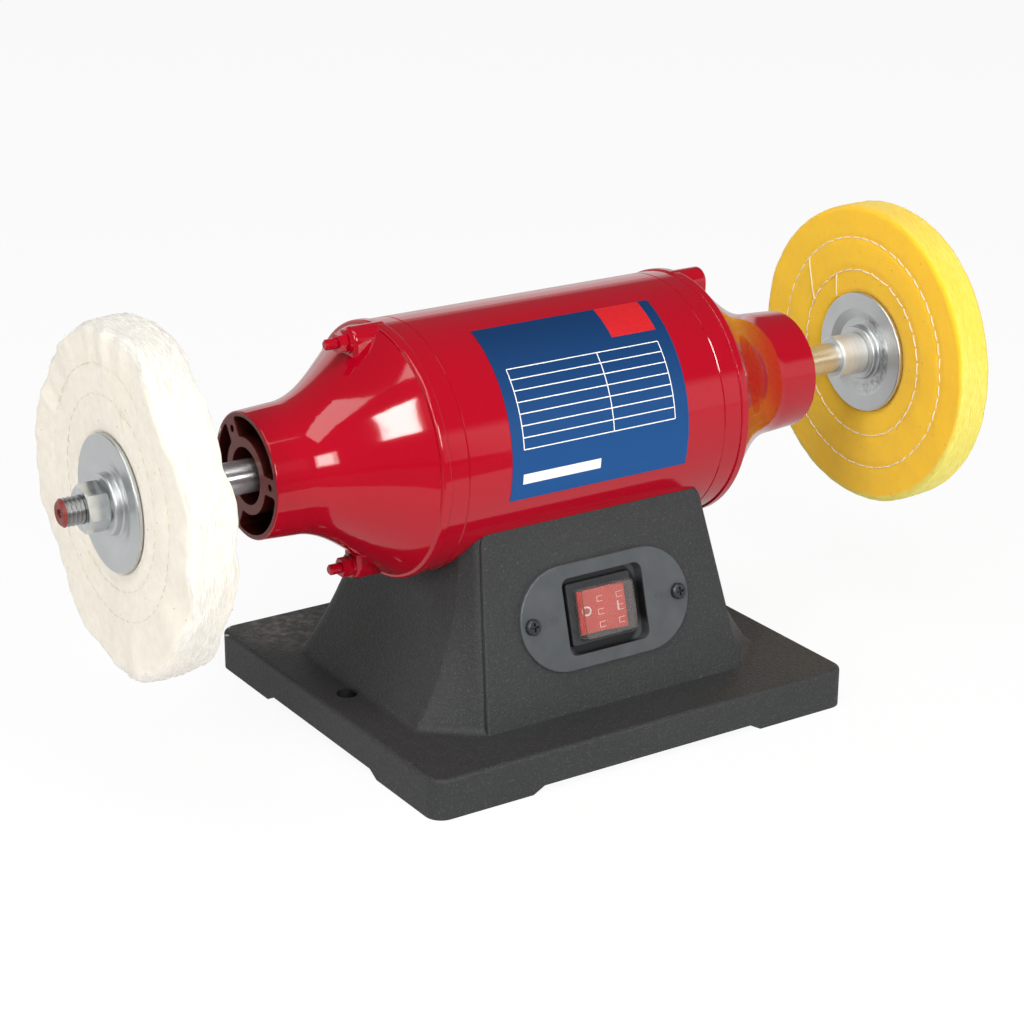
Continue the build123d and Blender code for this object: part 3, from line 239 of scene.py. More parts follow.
bright_paper = add(
    tree, "ShaderNodeEmission", {"Color": srgb("#ffffff"), "Strength": strength.outputs[0]}
)
paper = add(
    tree,
    "ShaderNodeMixShader",
    {
        0: whiteness.outputs[0],
        1: tree.nodes["Principled BSDF"].outputs[0],
        2: bright_paper.outputs[0],
    },
)
tree.links.new(paper.outputs[0], tree.nodes["Material Output"].inputs["Surface"])
sheet = bmesh.new()
bmesh.ops.create_grid(sheet, x_segments=1, y_segments=1, size=6)
piece_from(sheet, "paper_floor", floor_paper)


# Base: one hollow casting with a flat plate, cast feet and a flared pedestal that carries the
# motor. It is aluminium, sand cast and sprayed with a textured grey paint over its whole outside.
def dress(material, *nodes):
    """Give CAD nodes a material."""
    for name in nodes:
        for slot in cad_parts[name].material_slots:
            slot.material = material


plate_height = 19.3
bench_hole_station, bench_hole_radius = 100.0, 5.0
# Textured paint: a fine pebbled relief that breaks up the gloss, with pale specks of dried spray
pebble, cloud, speck, rub = 1.3, 45, 0.65, 3.5
pebble_depth = 0.4
base_paint, tree, shader, place = finish("textured_grey_paint", {"Specular IOR Level": 0.4})
pebbles = add(
    tree, "ShaderNodeTexNoise", {"Vector": place, "Scale": 1000 / pebble, "Detail": 4.0}
)
clouds = add(tree, "ShaderNodeTexNoise", {"Vector": place, "Scale": 1000 / cloud, "Detail": 2.0})
specks = add(tree, "ShaderNodeTexNoise", {"Vector": place, "Scale": 1000 / speck, "Detail": 1.0})
spray = add(
    tree,
    "ShaderNodeMapRange",
    {"Value": specks.outputs["Fac"], "From Min": 0.6, "From Max": 0.8, "To Max": 0.26},
)
ground = add(
    tree,
    "ShaderNodeMix",
    {0: clouds.outputs["Fac"], 6: srgb("#292a2a"), 7: srgb("#323333")},
    data_type="RGBA",
)
coat = add(
    tree,
    "ShaderNodeMix",
    {0: spray.outputs["Result"], 6: ground.outputs[2], 7: srgb("#8d9091")},
    data_type="RGBA",
)
# The top of the plate is scuffed pale where it is carried, behind the white wheel
scuff_place = (-0.083, 0.085, plate_height / 1000)
plate_top = beyond(tree, place, (0, 0, 1), (plate_height - 0.7) / 1000, (plate_height - 0.1) / 1000)
carried = add(tree, "ShaderNodeVectorMath", {0: place, 1: scuff_place}, operation="DISTANCE")
handled = add(
    tree,
    "ShaderNodeMapRange",
    {
        "Value": carried.outputs["Value"],
        "From Min": 0.012,
        "From Max": 0.036,
        "To Min": 1.0,
        "To Max": 0.0,
    },
)
rubs = add(tree, "ShaderNodeTexNoise", {"Vector": place, "Scale": 1000 / rub, "Detail": 6.0})
rubbed = add(
    tree,
    "ShaderNodeMapRange",
    {
        "Value": rubs.outputs["Fac"],
        "From Min": 0.42,
        "From Max": 0.7,
        "To Min": 0.08,
        "To Max": 0.6,
    },
)
scuffs = add(
    tree,
    "ShaderNodeMath",
    {0: handled.outputs["Result"], 1: rubbed.outputs["Result"]},
    operation="MULTIPLY",
)
top_scuffs = add(tree, "ShaderNodeMath", {0: scuffs.outputs[0], 1: plate_top}, operation="MULTIPLY")
scuffed = add(
    tree,
    "ShaderNodeMix",
    {0: top_scuffs.outputs[0], 6: coat.outputs[2], 7: srgb("#88847d")},
    data_type="RGBA",
)
# Painted shade: the insides of the two bench holes are coloured near black
spread = add(tree, "ShaderNodeSeparateXYZ", {0: place}).outputs
along = add(tree, "ShaderNodeMath", {0: spread["X"]}, operation="ABSOLUTE")
off_hole = add(
    tree,
    "ShaderNodeMath",
    {0: along.outputs[0], 1: bench_hole_station / 1000},
    operation="SUBTRACT",
)
across_hole = add(tree, "ShaderNodeCombineXYZ", {"X": off_hole.outputs[0], "Y": spread["Y"]})
from_hole = add(tree, "ShaderNodeVectorMath", {0: across_hole.outputs[0]}, operation="LENGTH")
bench_hole_shade = add(
    tree,
    "ShaderNodeMapRange",
    {
        "Value": from_hole.outputs["Value"],
        "From Min": bench_hole_radius / 1000,
        "From Max": (bench_hole_radius + 0.3) / 1000,
        "To Min": 0.85,
        "To Max": 0.0,
    },
)
casting = add(
    tree,
    "ShaderNodeMix",
    {0: bench_hole_shade.outputs["Result"], 6: scuffed.outputs[2], 7: srgb("#0c0c0c")},
    data_type="RGBA",
)
pebble_gloss = add(
    tree,
    "ShaderNodeMapRange",
    {
        "Value": pebbles.outputs["Fac"],
        "From Min": 0.3,
        "From Max": 0.7,
        "To Min": 0.5,
        "To Max": 0.7,
    },
)
pebble_relief = add(
    tree, "ShaderNodeBump", {"Height": pebbles.outputs["Fac"], "Distance": pebble_depth / 1000}
)
tree.links.new(casting.outputs[2], shader.inputs["Base Color"])
tree.links.new(pebble_gloss.outputs["Result"], shader.inputs["Roughness"])
tree.links.new(pebble_relief.outputs["Normal"], shader.inputs["Normal"])
dress(base_paint, "base_casting")

# Grommets: moulded black rubber, pushed into holes for the supply cable and the motor leads.
# Rubber is dull and slightly bloomed, so it goes grey on its high spots.
rubber = grained("moulded_black_rubber", ("#161616", "#242424"), 3.0, (0.6, 0.8), 0.02, {})
dress(rubber, "cable_grommet", "lead_grommet")

# Bottom cover: a pressed sheet of zinc-plated steel under the base, held by four screws.
# It carries the run capacitor in its clamp, and closes off the wiring.
# Zinc-plated sheet: a pale, slightly cloudy grey with soft reflections
plated_sheet = grained(
    "zinc_plated_sheet", ("#a8adb0", "#c3c7c8"), 6.0, (0.3, 0.45), 0.005, {"Metallic": 1.0}
)
# Zinc-plated screws: a little brighter than the sheet, with a finer grain
zinc_screws = grained(
    "zinc_plated_screws", ("#b4b8ba", "#cdd0d0"), 0.8, (0.22, 0.4), 0.01, {"Metallic": 1.0}
)
dress(plated_sheet, "bottom_cover", "capacitor_clamp", "switch_terminals")
dress(zinc_screws, "bottom_cover_screws", "capacitor_clamp_screws")

# Wiring inside the base: a capacitor can, a terminal block and an earth screw.
# They sit on the cover and the deck, out of sight once the cover is on.
# Drawn aluminium: bright, with fine lines along the can from the die
can = grained(
    "drawn_aluminium_can",
    ("#b9bcbf", "#d2d4d6"),
    1.2,
    (0.25, 0.4),
    0.006,
    {"Metallic": 1.0},
    (0.1, 1, 1),
)
# Moulded nylon: milky, with a waxy shine
nylon = grained("moulded_nylon", ("#d9d5c8", "#e6e2d6"), 5.0, (0.4, 0.55), 0.01, {})
# Turned brass: warm yellow with sharp highlights
brass = grained("turned_brass", ("#b08a3c", "#caa452"), 0.9, (0.2, 0.35), 0.006, {"Metallic": 1.0})
dress(can, "run_capacitor")
dress(nylon, "terminal_block")
dress(brass, "earth_screw")

# Switch plate: a moulded oval with a sunk tray, screwed to the pad by two black cross-head screws.
# It is satin grey plastic, smoother than the paint round it, with ON and OFF moulded in its face.
plate_plastic = grained(
    "satin_grey_abs", ("#484b4d", "#4f5254"), 9.0, (0.3, 0.4), 0.012, {"Specular IOR Level": 0.45}
)
# Black oxide on steel: dark, with an oily half-metal shine
black_screws = grained(
    "black_oxide_screws", ("#33373a", "#484c4f"), 0.7, (0.24, 0.36), 0.012, {"Metallic": 0.6}
)
dress(plate_plastic, "switch_plate")
dress(black_screws, "switch_plate_screws")

switch_origin = Vector((0.0003, -0.062265, 0.061277))
switch_out = Vector((0, -0.963074, 0.269238))
switch_up = Vector((0, 0.269238, 0.963074))
plate_face = 1.8
tray_radius, lip_width = 23.5, 1.5
# Painted shade: the sunk tray is coloured nearly black, below a lip that keeps the plate's grey
tree = plate_plastic.node_tree
grey = tree.nodes["Principled BSDF"].inputs["Base Color"]
place = add(tree, "ShaderNodeTexCoord").outputs["Object"]
face_level = switch_origin.dot(switch_out) + plate_face / 1000
on_face = beyond(tree, place, switch_out, face_level - 0.0014, face_level - 0.0003)
spaced = add(tree, "ShaderNodeVectorMath", {0: place, 1: switch_origin}, operation="DISTANCE")
off_tray = add(
    tree,
    "ShaderNodeMapRange",
    {
        "Value": spaced.outputs["Value"],
        "From Min": tray_radius / 1000,
        "From Max": (tray_radius + lip_width) / 1000,
    },
)
lipped = add(
    tree, "ShaderNodeMath", {0: on_face, 1: off_tray.outputs["Result"]}, operation="MAXIMUM"
)
tray_shade = add(
    tree,
    "ShaderNodeMix",
    {0: lipped.outputs[0], 6: srgb("#1b1c1d"), 7: grey.links[0].from_socket},
    data_type="RGBA",
)
tree.links.new(tray_shade.outputs[2], grey)


def on_switch(across, up, out, lean=0.0):
    """Place on the leaning switch pad in mm, turned by a lean about the pad's upright."""
    axes = Matrix((Vector((1, 0, 0)), switch_up, switch_out)).transposed().to_4x4()
    shift = Vector((across, 0, 0)) / 1000 + (switch_up * up + switch_out * out) / 1000
    return Matrix.Translation(switch_origin + shift) @ axes @ Matrix.Rotation(lean, 4, "Y")


def meshed(name, curve):
    """Mesh of a text or a curve."""
    maker = bpy.data.objects.new(name, curve)
    mesh = bpy.data.meshes.new_from_object(maker)
    bpy.data.objects.remove(maker)
    return mesh


def lettering(name, words, size, weight, depth, place, material):
    """Raised letters, as a mesh, on a placed plane; sizes and the added weight are in mm."""
    text = bpy.data.curves.new(name, "FONT")
    text.body = words
    text.size = size / 1000
    text.offset = weight / 1000
    text.extrude = depth / 1000
    text.align_x = text.align_y = "CENTER"
    mesh = meshed(name, text)
    mesh.transform(place)
    return piece_of(mesh, name, material)


letter_size, letter_depth = 5.0, 0.12
for name, words, across, up in (("plate_off", "OFF", -29.5, -0.1), ("plate_on", "ON", 31.5, -0.3)):
    on_plate = on_switch(across, up, plate_face)
    moulded = lettering(name, words, letter_size, 0, letter_depth, on_plate, plate_plastic)
    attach(moulded, "frame")

# Switch: a black body snapped into the tray, with a red rocker on two pins.
# The rocker is glossy coloured nylon, with a white ring and bar printed on its two halves.
# Spark-eroded nylon: a fine matt grain from the mould, greyer on its high spots
black_plastic = grained(
    "spark_eroded_black_nylon", ("#1f2021", "#343638"), 0.9, (0.42, 0.6), 0.05, {}
)
# Glossy nylon: an even red with clear reflections
rocker_red = grained(
    "glossy_red_nylon", ("#d84636", "#e05444"), 8.0, (0.2, 0.28), 0.004, {"Specular IOR Level": 0.5}
)
# Printed ink: a flat, slightly warm white
white_ink = grained("printed_white_ink", ("#f0eeea", "#fbfaf7"), 1.0, (0.4, 0.55), 0.004, {})
dress(black_plastic, "switch_body")
dress(rocker_red, "rocker")

rocker_tilt = radians(11)
rocker_slope = radians(8.2)
mark_size, mark_weight, mark_depth, mark_up = 6.0, 0.1, 0.06, 0.1
for name, words, across, out, lean in (
    ("rocker_ring", "O", -8.3, -1.62, -rocker_tilt + rocker_slope),
    ("rocker_bar", "I", 6.9, 1.37, -rocker_tilt - rocker_slope),
):
    on_half = on_switch(across, mark_up, out, lean)
    mark = lettering(name, words, mark_size, mark_weight, mark_depth, on_half, white_ink)
    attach(mark, "rocker")

# Splash cover: a clear soft cap over the rocker, pressed on to the bezel.
# It is thin moulded PVC with six small grip ribs on its front.
# Clear PVC: rippled and a little hazy, so that the rocker behind it looks soft
clear_pvc, tree, shader, place = finish(
    "clear_moulded_pvc",
    {"Base Color": srgb("#f3efee"), "Transmission Weight": 0.95, "IOR": 1.2},
)
ripple_size, ripple_depth = 6, 0.08
ripple = add(
    tree, "ShaderNodeTexNoise", {"Vector": place, "Scale": 1000 / ripple_size, "Detail": 2.0}
)
haze = add(
    tree, "ShaderNodeMapRange", {"Value": ripple.outputs["Fac"], "To Min": 0.03, "To Max": 0.16}
)
ripple_relief = add(
    tree, "ShaderNodeBump", {"Height": ripple.outputs["Fac"], "Distance": ripple_depth / 1000}
)
tree.links.new(haze.outputs["Result"], shader.inputs["Roughness"])
tree.links.new(ripple_relief.outputs["Normal"], shader.inputs["Normal"])
dress(clear_pvc, "switch_cover")

# Painted highlight: the ribs are coloured pale pink, for glints on them against the red rocker
rib_glint = grained("pvc_painted_glint", ("#e0b6a8", "#e9c2b4"), 1.0, (0.3, 0.4), 0.006, {})
ribs = bmesh.new()
cover_face = 5.6
rib_height, rib_lift = 0.3, 0.1
# Each rib is an upright and two arms, given by their sizes and their shifts from its middle
rib_strokes = (((0.2, 2.6), (-1.5, 0)), ((3.0, 0.2), (0, 1.2)), ((3.0, 0.2), (0, -1.2)))
for across in (-5.3, 5.4):
    for up in (6.2, 0.2, -5.7):
        for size, (aside, raised) in rib_strokes:
            stroke = bmesh.ops.create_cube(ribs, size=0.001)["verts"]
            bmesh.ops.scale(ribs, vec=(*size, rib_height), verts=stroke)
            on_cover = on_switch(across + aside, up + raised, cover_face + rib_lift)
            bmesh.ops.transform(ribs, matrix=on_cover, verts=stroke)
cover_ribs = piece_from(ribs, "cover_ribs", rib_glint)
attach(cover_ribs, "frame")

# Motor drum: rolled and welded sheet steel, screwed down into the saddle of the base.
# It is sprayed with a gloss red enamel, together with the bells, their rods and nuts.
spindle_height = 135.3
drum_radius = 58.5
hollow_bottom, hollow_radius, bell_end = 120.0, 28.0, 148.7


def from_spindle(tree, place):
    """Outputs for a place's station along the spindle, its offset from it and how far that is."""
    spread = add(tree, "ShaderNodeSeparateXYZ", {0: place}).outputs
    up = add(
        tree, "ShaderNodeMath", {0: spread["Z"], 1: spindle_height / 1000}, operation="SUBTRACT"
    )
    offset = add(tree, "ShaderNodeCombineXYZ", {"Y": spread["Y"], "Z": up.outputs[0]}).outputs[0]
    reach = add(tree, "ShaderNodeVectorMath", {0: offset}, operation="LENGTH").outputs["Value"]
    return spread["X"], offset, reach


# Sprayed gloss: a faint orange peel that bends reflections, and a slightly uneven red
peel_size, peel_depth, depths_size = 3.5, 0.012, 70
red_enamel, tree, shader, place = finish(
    "gloss_red_enamel",
    {
        "Specular IOR Level": 0.5,
        "Specular Tint": srgb("#fffdf6"),
        "Coat Weight": 0.1,
        "Coat Roughness": 0.05,
    },
)
peel = add(
    tree, "ShaderNodeTexNoise", {"Vector": place, "Scale": 1000 / peel_size, "Detail": 3.0}
)
depths = add(
    tree, "ShaderNodeTexNoise", {"Vector": place, "Scale": 1000 / depths_size, "Detail": 2.0}
)
red = add(
    tree,
    "ShaderNodeMix",
    {0: depths.outputs["Fac"], 6: srgb("#a3021b"), 7: srgb("#ab031f")},
    data_type="RGBA",
)
# Painted shade: inside the hollow end of a bell the red is coloured dark brown
station, _, reach = from_spindle(tree, place)
along = add(tree, "ShaderNodeMath", {0: station}, operation="ABSOLUTE").outputs[0]
hollow_depth = add(
    tree,
    "ShaderNodeMapRange",
    {
        "Value": along,
        "From Min": (hollow_bottom - 0.5) / 1000,
        "From Max": (hollow_bottom + 0.5) / 1000,
    },
)
hollow_width = add(
    tree,
    "ShaderNodeMapRange",
    {
        "Value": reach,
        "From Min": (hollow_radius - 0.1) / 1000,
        "From Max": (hollow_radius + 0.6) / 1000,
        "To Min": 1.0,
        "To Max": 0.0,
    },
)
# The painted shade is palest on the faces of the hub, ribs and rim, and darkest in the pockets
face_on = add(
    tree,
    "ShaderNodeMapRange",
    {"Value": along, "From Min": (bell_end - 0.7) / 1000, "From Max": (bell_end - 0.2) / 1000},
)
hollow_shade = add(
    tree,
    "ShaderNodeMix",
    {0: face_on.outputs["Result"], 6: srgb("#420e0b"), 7: srgb("#6e1b15")},
    data_type="RGBA",
)
in_hollow = add(
    tree,
    "ShaderNodeMath",
    {0: hollow_depth.outputs["Result"], 1: hollow_width.outputs["Result"]},
    operation="MULTIPLY",
)
enamel = add(
    tree,
    "ShaderNodeMix",
    {0: in_hollow.outputs[0], 6: red.outputs[2], 7: hollow_shade.outputs[2]},
    data_type="RGBA",
)
peel_relief = add(
    tree, "ShaderNodeBump", {"Height": peel.outputs["Fac"], "Distance": peel_depth / 1000}
)
dull = add(tree, "ShaderNodeMapRange", {"Value": in_hollow.outputs[0], "To Min": 0.08, "To Max": 0.4})
tree.links.new(enamel.outputs[2], shader.inputs["Base Color"])
tree.links.new(dull.outputs["Result"], shader.inputs["Roughness"])
tree.links.new(peel_relief.outputs["Normal"], shader.inputs["Normal"])
dress(red_enamel, "motor_drum", "left_end_bell", "right_end_bell", "tie_rods", "tie_rod_nuts")
dress(zinc_screws, "drum_screws", "drum_weld_nuts")

# Rating label: a blue printed film stuck round the front of the drum.
# Its table is ruled but left empty, with a blank red block above it and a blank strip below.
# Printed film: a satin blue that pales towards its lower edge
label_film, tree, shader, place = finish("printed_blue_film", {"Specular IOR Level": 0.25})
height = add(tree, "ShaderNodeSeparateXYZ", {0: place}).outputs["Z"]
fade = add(
    tree,
    "ShaderNodeMapRange",
    {"Value": height, "From Min": 0.125, "From Max": 0.19, "To Min": 1.0, "To Max": 0.0},
)
dot_size = 0.7
dots = add(tree, "ShaderNodeTexNoise", {"Vector": place, "Scale": 1000 / dot_size, "Detail": 1.0})
blue = add(
    tree,
    "ShaderNodeMix",
    {0: fade.outputs["Result"], 6: srgb("#08305b"), 7: srgb("#0f4c88")},
    data_type="RGBA",
)
printed = add(
    tree, "ShaderNodeMapRange", {"Value": dots.outputs["Fac"], "To Min": 0.42, "To Max": 0.54}
)
tree.links.new(blue.outputs[2], shader.inputs["Base Color"])
tree.links.new(printed.outputs["Result"], shader.inputs["Roughness"])
# Red ink: flat and even, like the white
red_ink = grained("printed_red_ink", ("#c3161d", "#cd1d24"), 1.0, (0.35, 0.45), 0.003, {})


def print_patch(bm, left, right, low, high, lift, thickness, ink):
    """Block on the unrolled label, between two stations in mm and two angles in degrees."""
    arc_low, arc_high = (radians(angle) * drum_radius for angle in (low, high))
    corners = bmesh.ops.create_cube(bm, size=1)["verts"]
    bmesh.ops.scale(bm, vec=(right - left, arc_high - arc_low, thickness), verts=corners)
    middle = ((left + right) / 2, (arc_low + arc_high) / 2, lift + thickness / 2)
    bmesh.ops.translate(bm, vec=middle, verts=corners)
    edges = {edge for corner in corners for edge in corner.link_edges}
    for face in {face for corner in corners for face in corner.link_faces}:
        face.material_index = ink
    # Edges that climb the drum are cut into short lengths, so that they bend with it
    shortest, length = 2, 1.5
    climbing = [edge for edge in edges if abs(edge.verts[0].co.y - edge.verts[1].co.y) > shortest]
    if climbing:
        cuts = max(1, round((arc_high - arc_low) / length))
        bmesh.ops.subdivide_edges(bm, edges=climbing, cuts=cuts)


film_blue, film_white, film_red = 0, 1, 2
film_gap, film_thickness = 0.02, 0.25
ink_lift, ink_thickness, upright_thickness = 0.27, 0.02, 0.025
film_outline = (-48.2, 48.2, -14, 69)
red_block = (18.1, 42.5, 51, 69)
white_strip = (-42.3, -0.6, -6.6, -2)
table_left, table_right, table_split = -42.0, 40.5, 6.5
table_top, table_bottom, table_rows = 45.0, 9.0, 7
line_width = 0.45
film = bmesh.new()
print_patch(film, *film_outline, film_gap, film_thickness, film_blue)
print_patch(film, *red_block, ink_lift, ink_thickness, film_red)
print_patch(film, *white_strip, ink_lift, ink_thickness, film_white)
half_line = line_width / 2 / radians(1) / drum_radius
for row in range(table_rows + 1):
    angle = table_top + (table_bottom - table_top) * row / table_rows
    level = (table_left, table_right, angle - half_line, angle + half_line)
    print_patch(film, *level, ink_lift, ink_thickness, film_white)
for station in (table_left, table_split, table_right):
    upright = (station - line_width / 2, station + line_width / 2, table_bottom, table_top)
    print_patch(film, *upright, ink_lift, upright_thickness, film_white)
# The film was stuck on by hand, slightly askew, so it runs to the right as it climbs
film_shift, film_skew = 0.37, 1.52
for vertex in film.verts:
    angle = vertex.co.y / drum_radius
    radius = drum_radius + vertex.co.z
    askew = film_shift + film_skew * angle
    vertex.co = Vector(
        (vertex.co.x + askew, -radius * cos(angle), spindle_height + radius * sin(angle))
    ) / 1000
label = piece_from(film, "ruled_label", label_film, white_ink, red_ink)
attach(label, "frame")
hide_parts("rating_label")

# Motor inside the drum: stacked steel laminations, copper windings and a cast cage in the rotor.
# The stator is pressed into the drum and the rotor is pressed on to the spindle.
# Stamped laminations: a dull grey with lines round the stack where the sheets meet
laminations = grained(
    "stamped_lamination_steel",
    ("#5d6062", "#85888a"),
    1.0,
    (0.35, 0.5),
    0.02,
    {"Metallic": 1.0},
    (1, 0.05, 0.05),
)
# Enamelled wire: glossy brown copper, ridged along the bundle
enamel_wire = grained(
    "enamelled_copper_wire",
    ("#8a4a20", "#b8682f"),
    1.2,
    (0.25, 0.4),
    0.1,
    {"Metallic": 0.8},
    (0.3, 1, 1),
)
# Die-cast aluminium: pale, with a dull and slightly uneven skin
cast_cage = grained(
    "die_cast_aluminium", ("#a4a6a8", "#bfc1c3"), 2.5, (0.4, 0.6), 0.03, {"Metallic": 1.0}
)
dress(laminations, "stator_core", "rotor_core")
dress(enamel_wire, "stator_winding")
dress(cast_cage, "rotor_cage")

# Bearings: a sealed deep-groove ball bearing in each bell, with a steel washer behind the right
# one. The rings and balls are hardened steel, the cage is pressed steel and the seals are rubber.
# Polished bearing steel: nearly a mirror
bearing_steel = grained(
    "polished_bearing_steel", ("#c2c5c8", "#d6d8da"), 3.0, (0.08, 0.16), 0.002, {"Metallic": 1.0}
)
ends = ("left", "right")
for end in ends:
    dress(
        bearing_steel,
        f"{end}_bearing_outer_ring",
        f"{end}_bearing_inner_ring",
        f"{end}_bearing_balls",
    )
    dress(plated_sheet, f"{end}_bearing_cage")
    dress(rubber, f"{end}_bearing_seals")
dress(plated_sheet, "preload_washer")

# Spindle: one turned and ground steel shaft, stepped down to a coarse thread at each end.
# The threads are a darker grey, and each end face is dabbed with red paint.
thread_start, tip_start = 200.0, 235.4
mark_spacing, marks_depth = 0.5, 0.002
# Ground steel: the marks run round the shaft, so they draw reflections out along it
spindle_steel, tree, shader, place = finish(
    "ground_spindle_steel", {"Anisotropic": 0.9, "Anisotropic Rotation": 0.25}
)
station = add(tree, "ShaderNodeSeparateXYZ", {0: place}).outputs["X"]
along = add(tree, "ShaderNodeMath", {0: station}, operation="ABSOLUTE").outputs[0]
# Grinding marks are finer than this, and are drawn 0.5 mm apart so that they show
grinding = add(tree, "ShaderNodeMapping", {"Vector": place, "Scale": (1, 0.03, 0.03)})
marks = add(
    tree,
    "ShaderNodeTexNoise",
    {"Vector": grinding.outputs[0], "Scale": 1000 / mark_spacing, "Detail": 2.0},
)
thread = add(
    tree,
    "ShaderNodeMapRange",
    {"Value": along, "From Min": thread_start / 1000, "From Max": (thread_start + 1.5) / 1000},
).outputs["Result"]
tip = add(
    tree,
    "ShaderNodeMapRange",
    {"Value": along, "From Min": tip_start / 1000, "From Max": (tip_start + 0.2) / 1000},
).outputs["Result"]
steel = add(
    tree,
    "ShaderNodeMix",
    {0: marks.outputs["Fac"], 6: srgb("#d2d3d4"), 7: srgb("#e4e4e4")},
    data_type="RGBA",
)
thread_grey = add(
    tree, "ShaderNodeMix", {0: thread, 6: steel.outputs[2], 7: srgb("#a5a5a4")}, data_type="RGBA"
)
dabbed = add(
    tree, "ShaderNodeMix", {0: tip, 6: thread_grey.outputs[2], 7: srgb("#80312a")}, data_type="RGBA"
)
bare = add(tree, "ShaderNodeMapRange", {"Value": tip, "To Min": 0.88, "To Max": 0.0})
ground_gloss = add(
    tree, "ShaderNodeMapRange", {"Value": marks.outputs["Fac"], "To Min": 0.2, "To Max": 0.3}
)
thread_roughness = 0.16
worn = add(
    tree,
    "ShaderNodeMath",
    {0: thread, 1: thread_roughness, 2: ground_gloss.outputs["Result"]},
    operation="MULTIPLY_ADD",
)
marks_relief = add(
    tree, "ShaderNodeBump", {"Height": marks.outputs["Fac"], "Distance": marks_depth / 1000}
)
round_shaft = add(tree, "ShaderNodeTangent", direction_type="RADIAL", axis="X")
tree.links.new(dabbed.outputs[2], shader.inputs["Base Color"])
tree.links.new(bare.outputs["Result"], shader.inputs["Metallic"])
tree.links.new(worn.outputs[0], shader.inputs["Roughness"])
tree.links.new(round_shaft.outputs[0], shader.inputs["Tangent"])
tree.links.new(marks_relief.outputs["Normal"], shader.inputs["Normal"])
dress(spindle_steel, "spindle")

# Sleeves, flanges and nuts: turned sleeve, pressed dished flanges and a hexagon nut at each end.
# Flanges and nuts are zinc plated, slightly blue, with fine turned rings; sleeves are satin nickel.
ring_spacing, ring_depth, patina_size, patch_size = 0.9, 0.012, 14, 2.2
bright_zinc, tree, shader, place = finish("bright_zinc_plate", {"Metallic": 1.0})
station, _, reach = from_spindle(tree, place)
ring_place = add(tree, "ShaderNodeCombineXYZ", {"X": station, "Y": reach})
rings = add(
    tree,
    "ShaderNodeTexNoise",
    {"Vector": ring_place.outputs[0], "Scale": 1000 / ring_spacing, "Detail": 2.0},
)
patina = add(
    tree, "ShaderNodeTexNoise", {"Vector": place, "Scale": 1000 / patina_size, "Detail": 3.0}
)
zinc = add(
    tree,
    "ShaderNodeMix",
    {0: patina.outputs["Fac"], 6: srgb("#c6c9ca"), 7: srgb("#e0e2e2")},
    data_type="RGBA",
)
# The valley of the right inner flange is darkened in brown patches, on the side towards the user
inner_slope = add(
    tree, "ShaderNodeMapRange", {"Value": reach, "From Min": 0.0145, "From Max": 0.0165}
)
outer_slope = add(
    tree,
    "ShaderNodeMapRange",
    {"Value": reach, "From Min": 0.0195, "From Max": 0.0225, "To Min": 1.0, "To Max": 0.0},
)
valley = add(
    tree,
    "ShaderNodeMath",
    {0: inner_slope.outputs["Result"], 1: outer_slope.outputs["Result"]},
    operation="MULTIPLY",
)
patch_noise = add(
    tree, "ShaderNodeTexNoise", {"Vector": place, "Scale": 1000 / patch_size, "Detail": 4.0}
)
patchy = add(
    tree,
    "ShaderNodeMapRange",
    {"Value": patch_noise.outputs["Fac"], "From Min": 0.36, "From Max": 0.66, "To Max": 0.7},
)
flange_station, flange_reach = 0.2, 0.0075
right_inner = add(
    tree, "ShaderNodeMath", {0: station, 1: flange_station, 2: flange_reach}, operation="COMPARE"
)
user_side = add(
    tree,
    "ShaderNodeMath",
    {0: right_inner.outputs[0], 1: beyond(tree, place, (0, -1, 0), -0.006, 0.012)},
    operation="MULTIPLY",
)
front_valley = add(
    tree, "ShaderNodeMath", {0: valley.outputs[0], 1: user_side.outputs[0]}, operation="MULTIPLY"
)
valley_patches = add(
    tree,
    "ShaderNodeMath",
    {0: front_valley.outputs[0], 1: patchy.outputs["Result"]},
    operation="MULTIPLY",
)
patched_zinc = add(
    tree,
    "ShaderNodeMix",
    {0: valley_patches.outputs[0], 6: zinc.outputs[2], 7: srgb("#6d665e")},
    data_type="RGBA",
)
zinc_gloss = add(
    tree, "ShaderNodeMapRange", {"Value": patina.outputs["Fac"], "To Min": 0.3, "To Max": 0.5}
)
ring_relief = add(
    tree, "ShaderNodeBump", {"Height": rings.outputs["Fac"], "Distance": ring_depth / 1000}
)
tree.links.new(patched_zinc.outputs[2], shader.inputs["Base Color"])
tree.links.new(zinc_gloss.outputs["Result"], shader.inputs["Roughness"])
tree.links.new(ring_relief.outputs["Normal"], shader.inputs["Normal"])
# Zinc on a machined nut: glossier than on the flanges, so each flat mirrors the room
nut_zinc = grained(
    "bright_zinc_nut", ("#c6cbcd", "#dde1e2"), 6.0, (0.14, 0.24), 0.004, {"Metallic": 1.0}
)
# Satin nickel: a pale warm grey with fine lines round the sleeve
sleeve_nickel = grained(
    "satin_nickel_plate",
    ("#dcdcd8", "#e9e9e5"),
    1.0,
    (0.38, 0.5),
    0.004,
    {"Metallic": 0.75},
    (1, 0.1, 0.1),
)
for end in ends:
    dress(sleeve_nickel, f"{end}_spacer_sleeve")
    dress(bright_zinc, f"{end}_inner_flange", f"{end}_outer_flange")
    dress(nut_zinc, f"{end}_wheel_nut")


# White wheel: a stack of loose round leaves of unbleached cotton, sewn together near the hub.
# The flanges grip its middle, so the leaves fan out and their raw edges make a ragged rim.
def smooth(value, low, high):
    """Rise from 0 to 1 between two values, with a soft start and end."""
    share = min(1, max(0, (value - low) / (high - low)))
    return share * share * (3 - 2 * share)


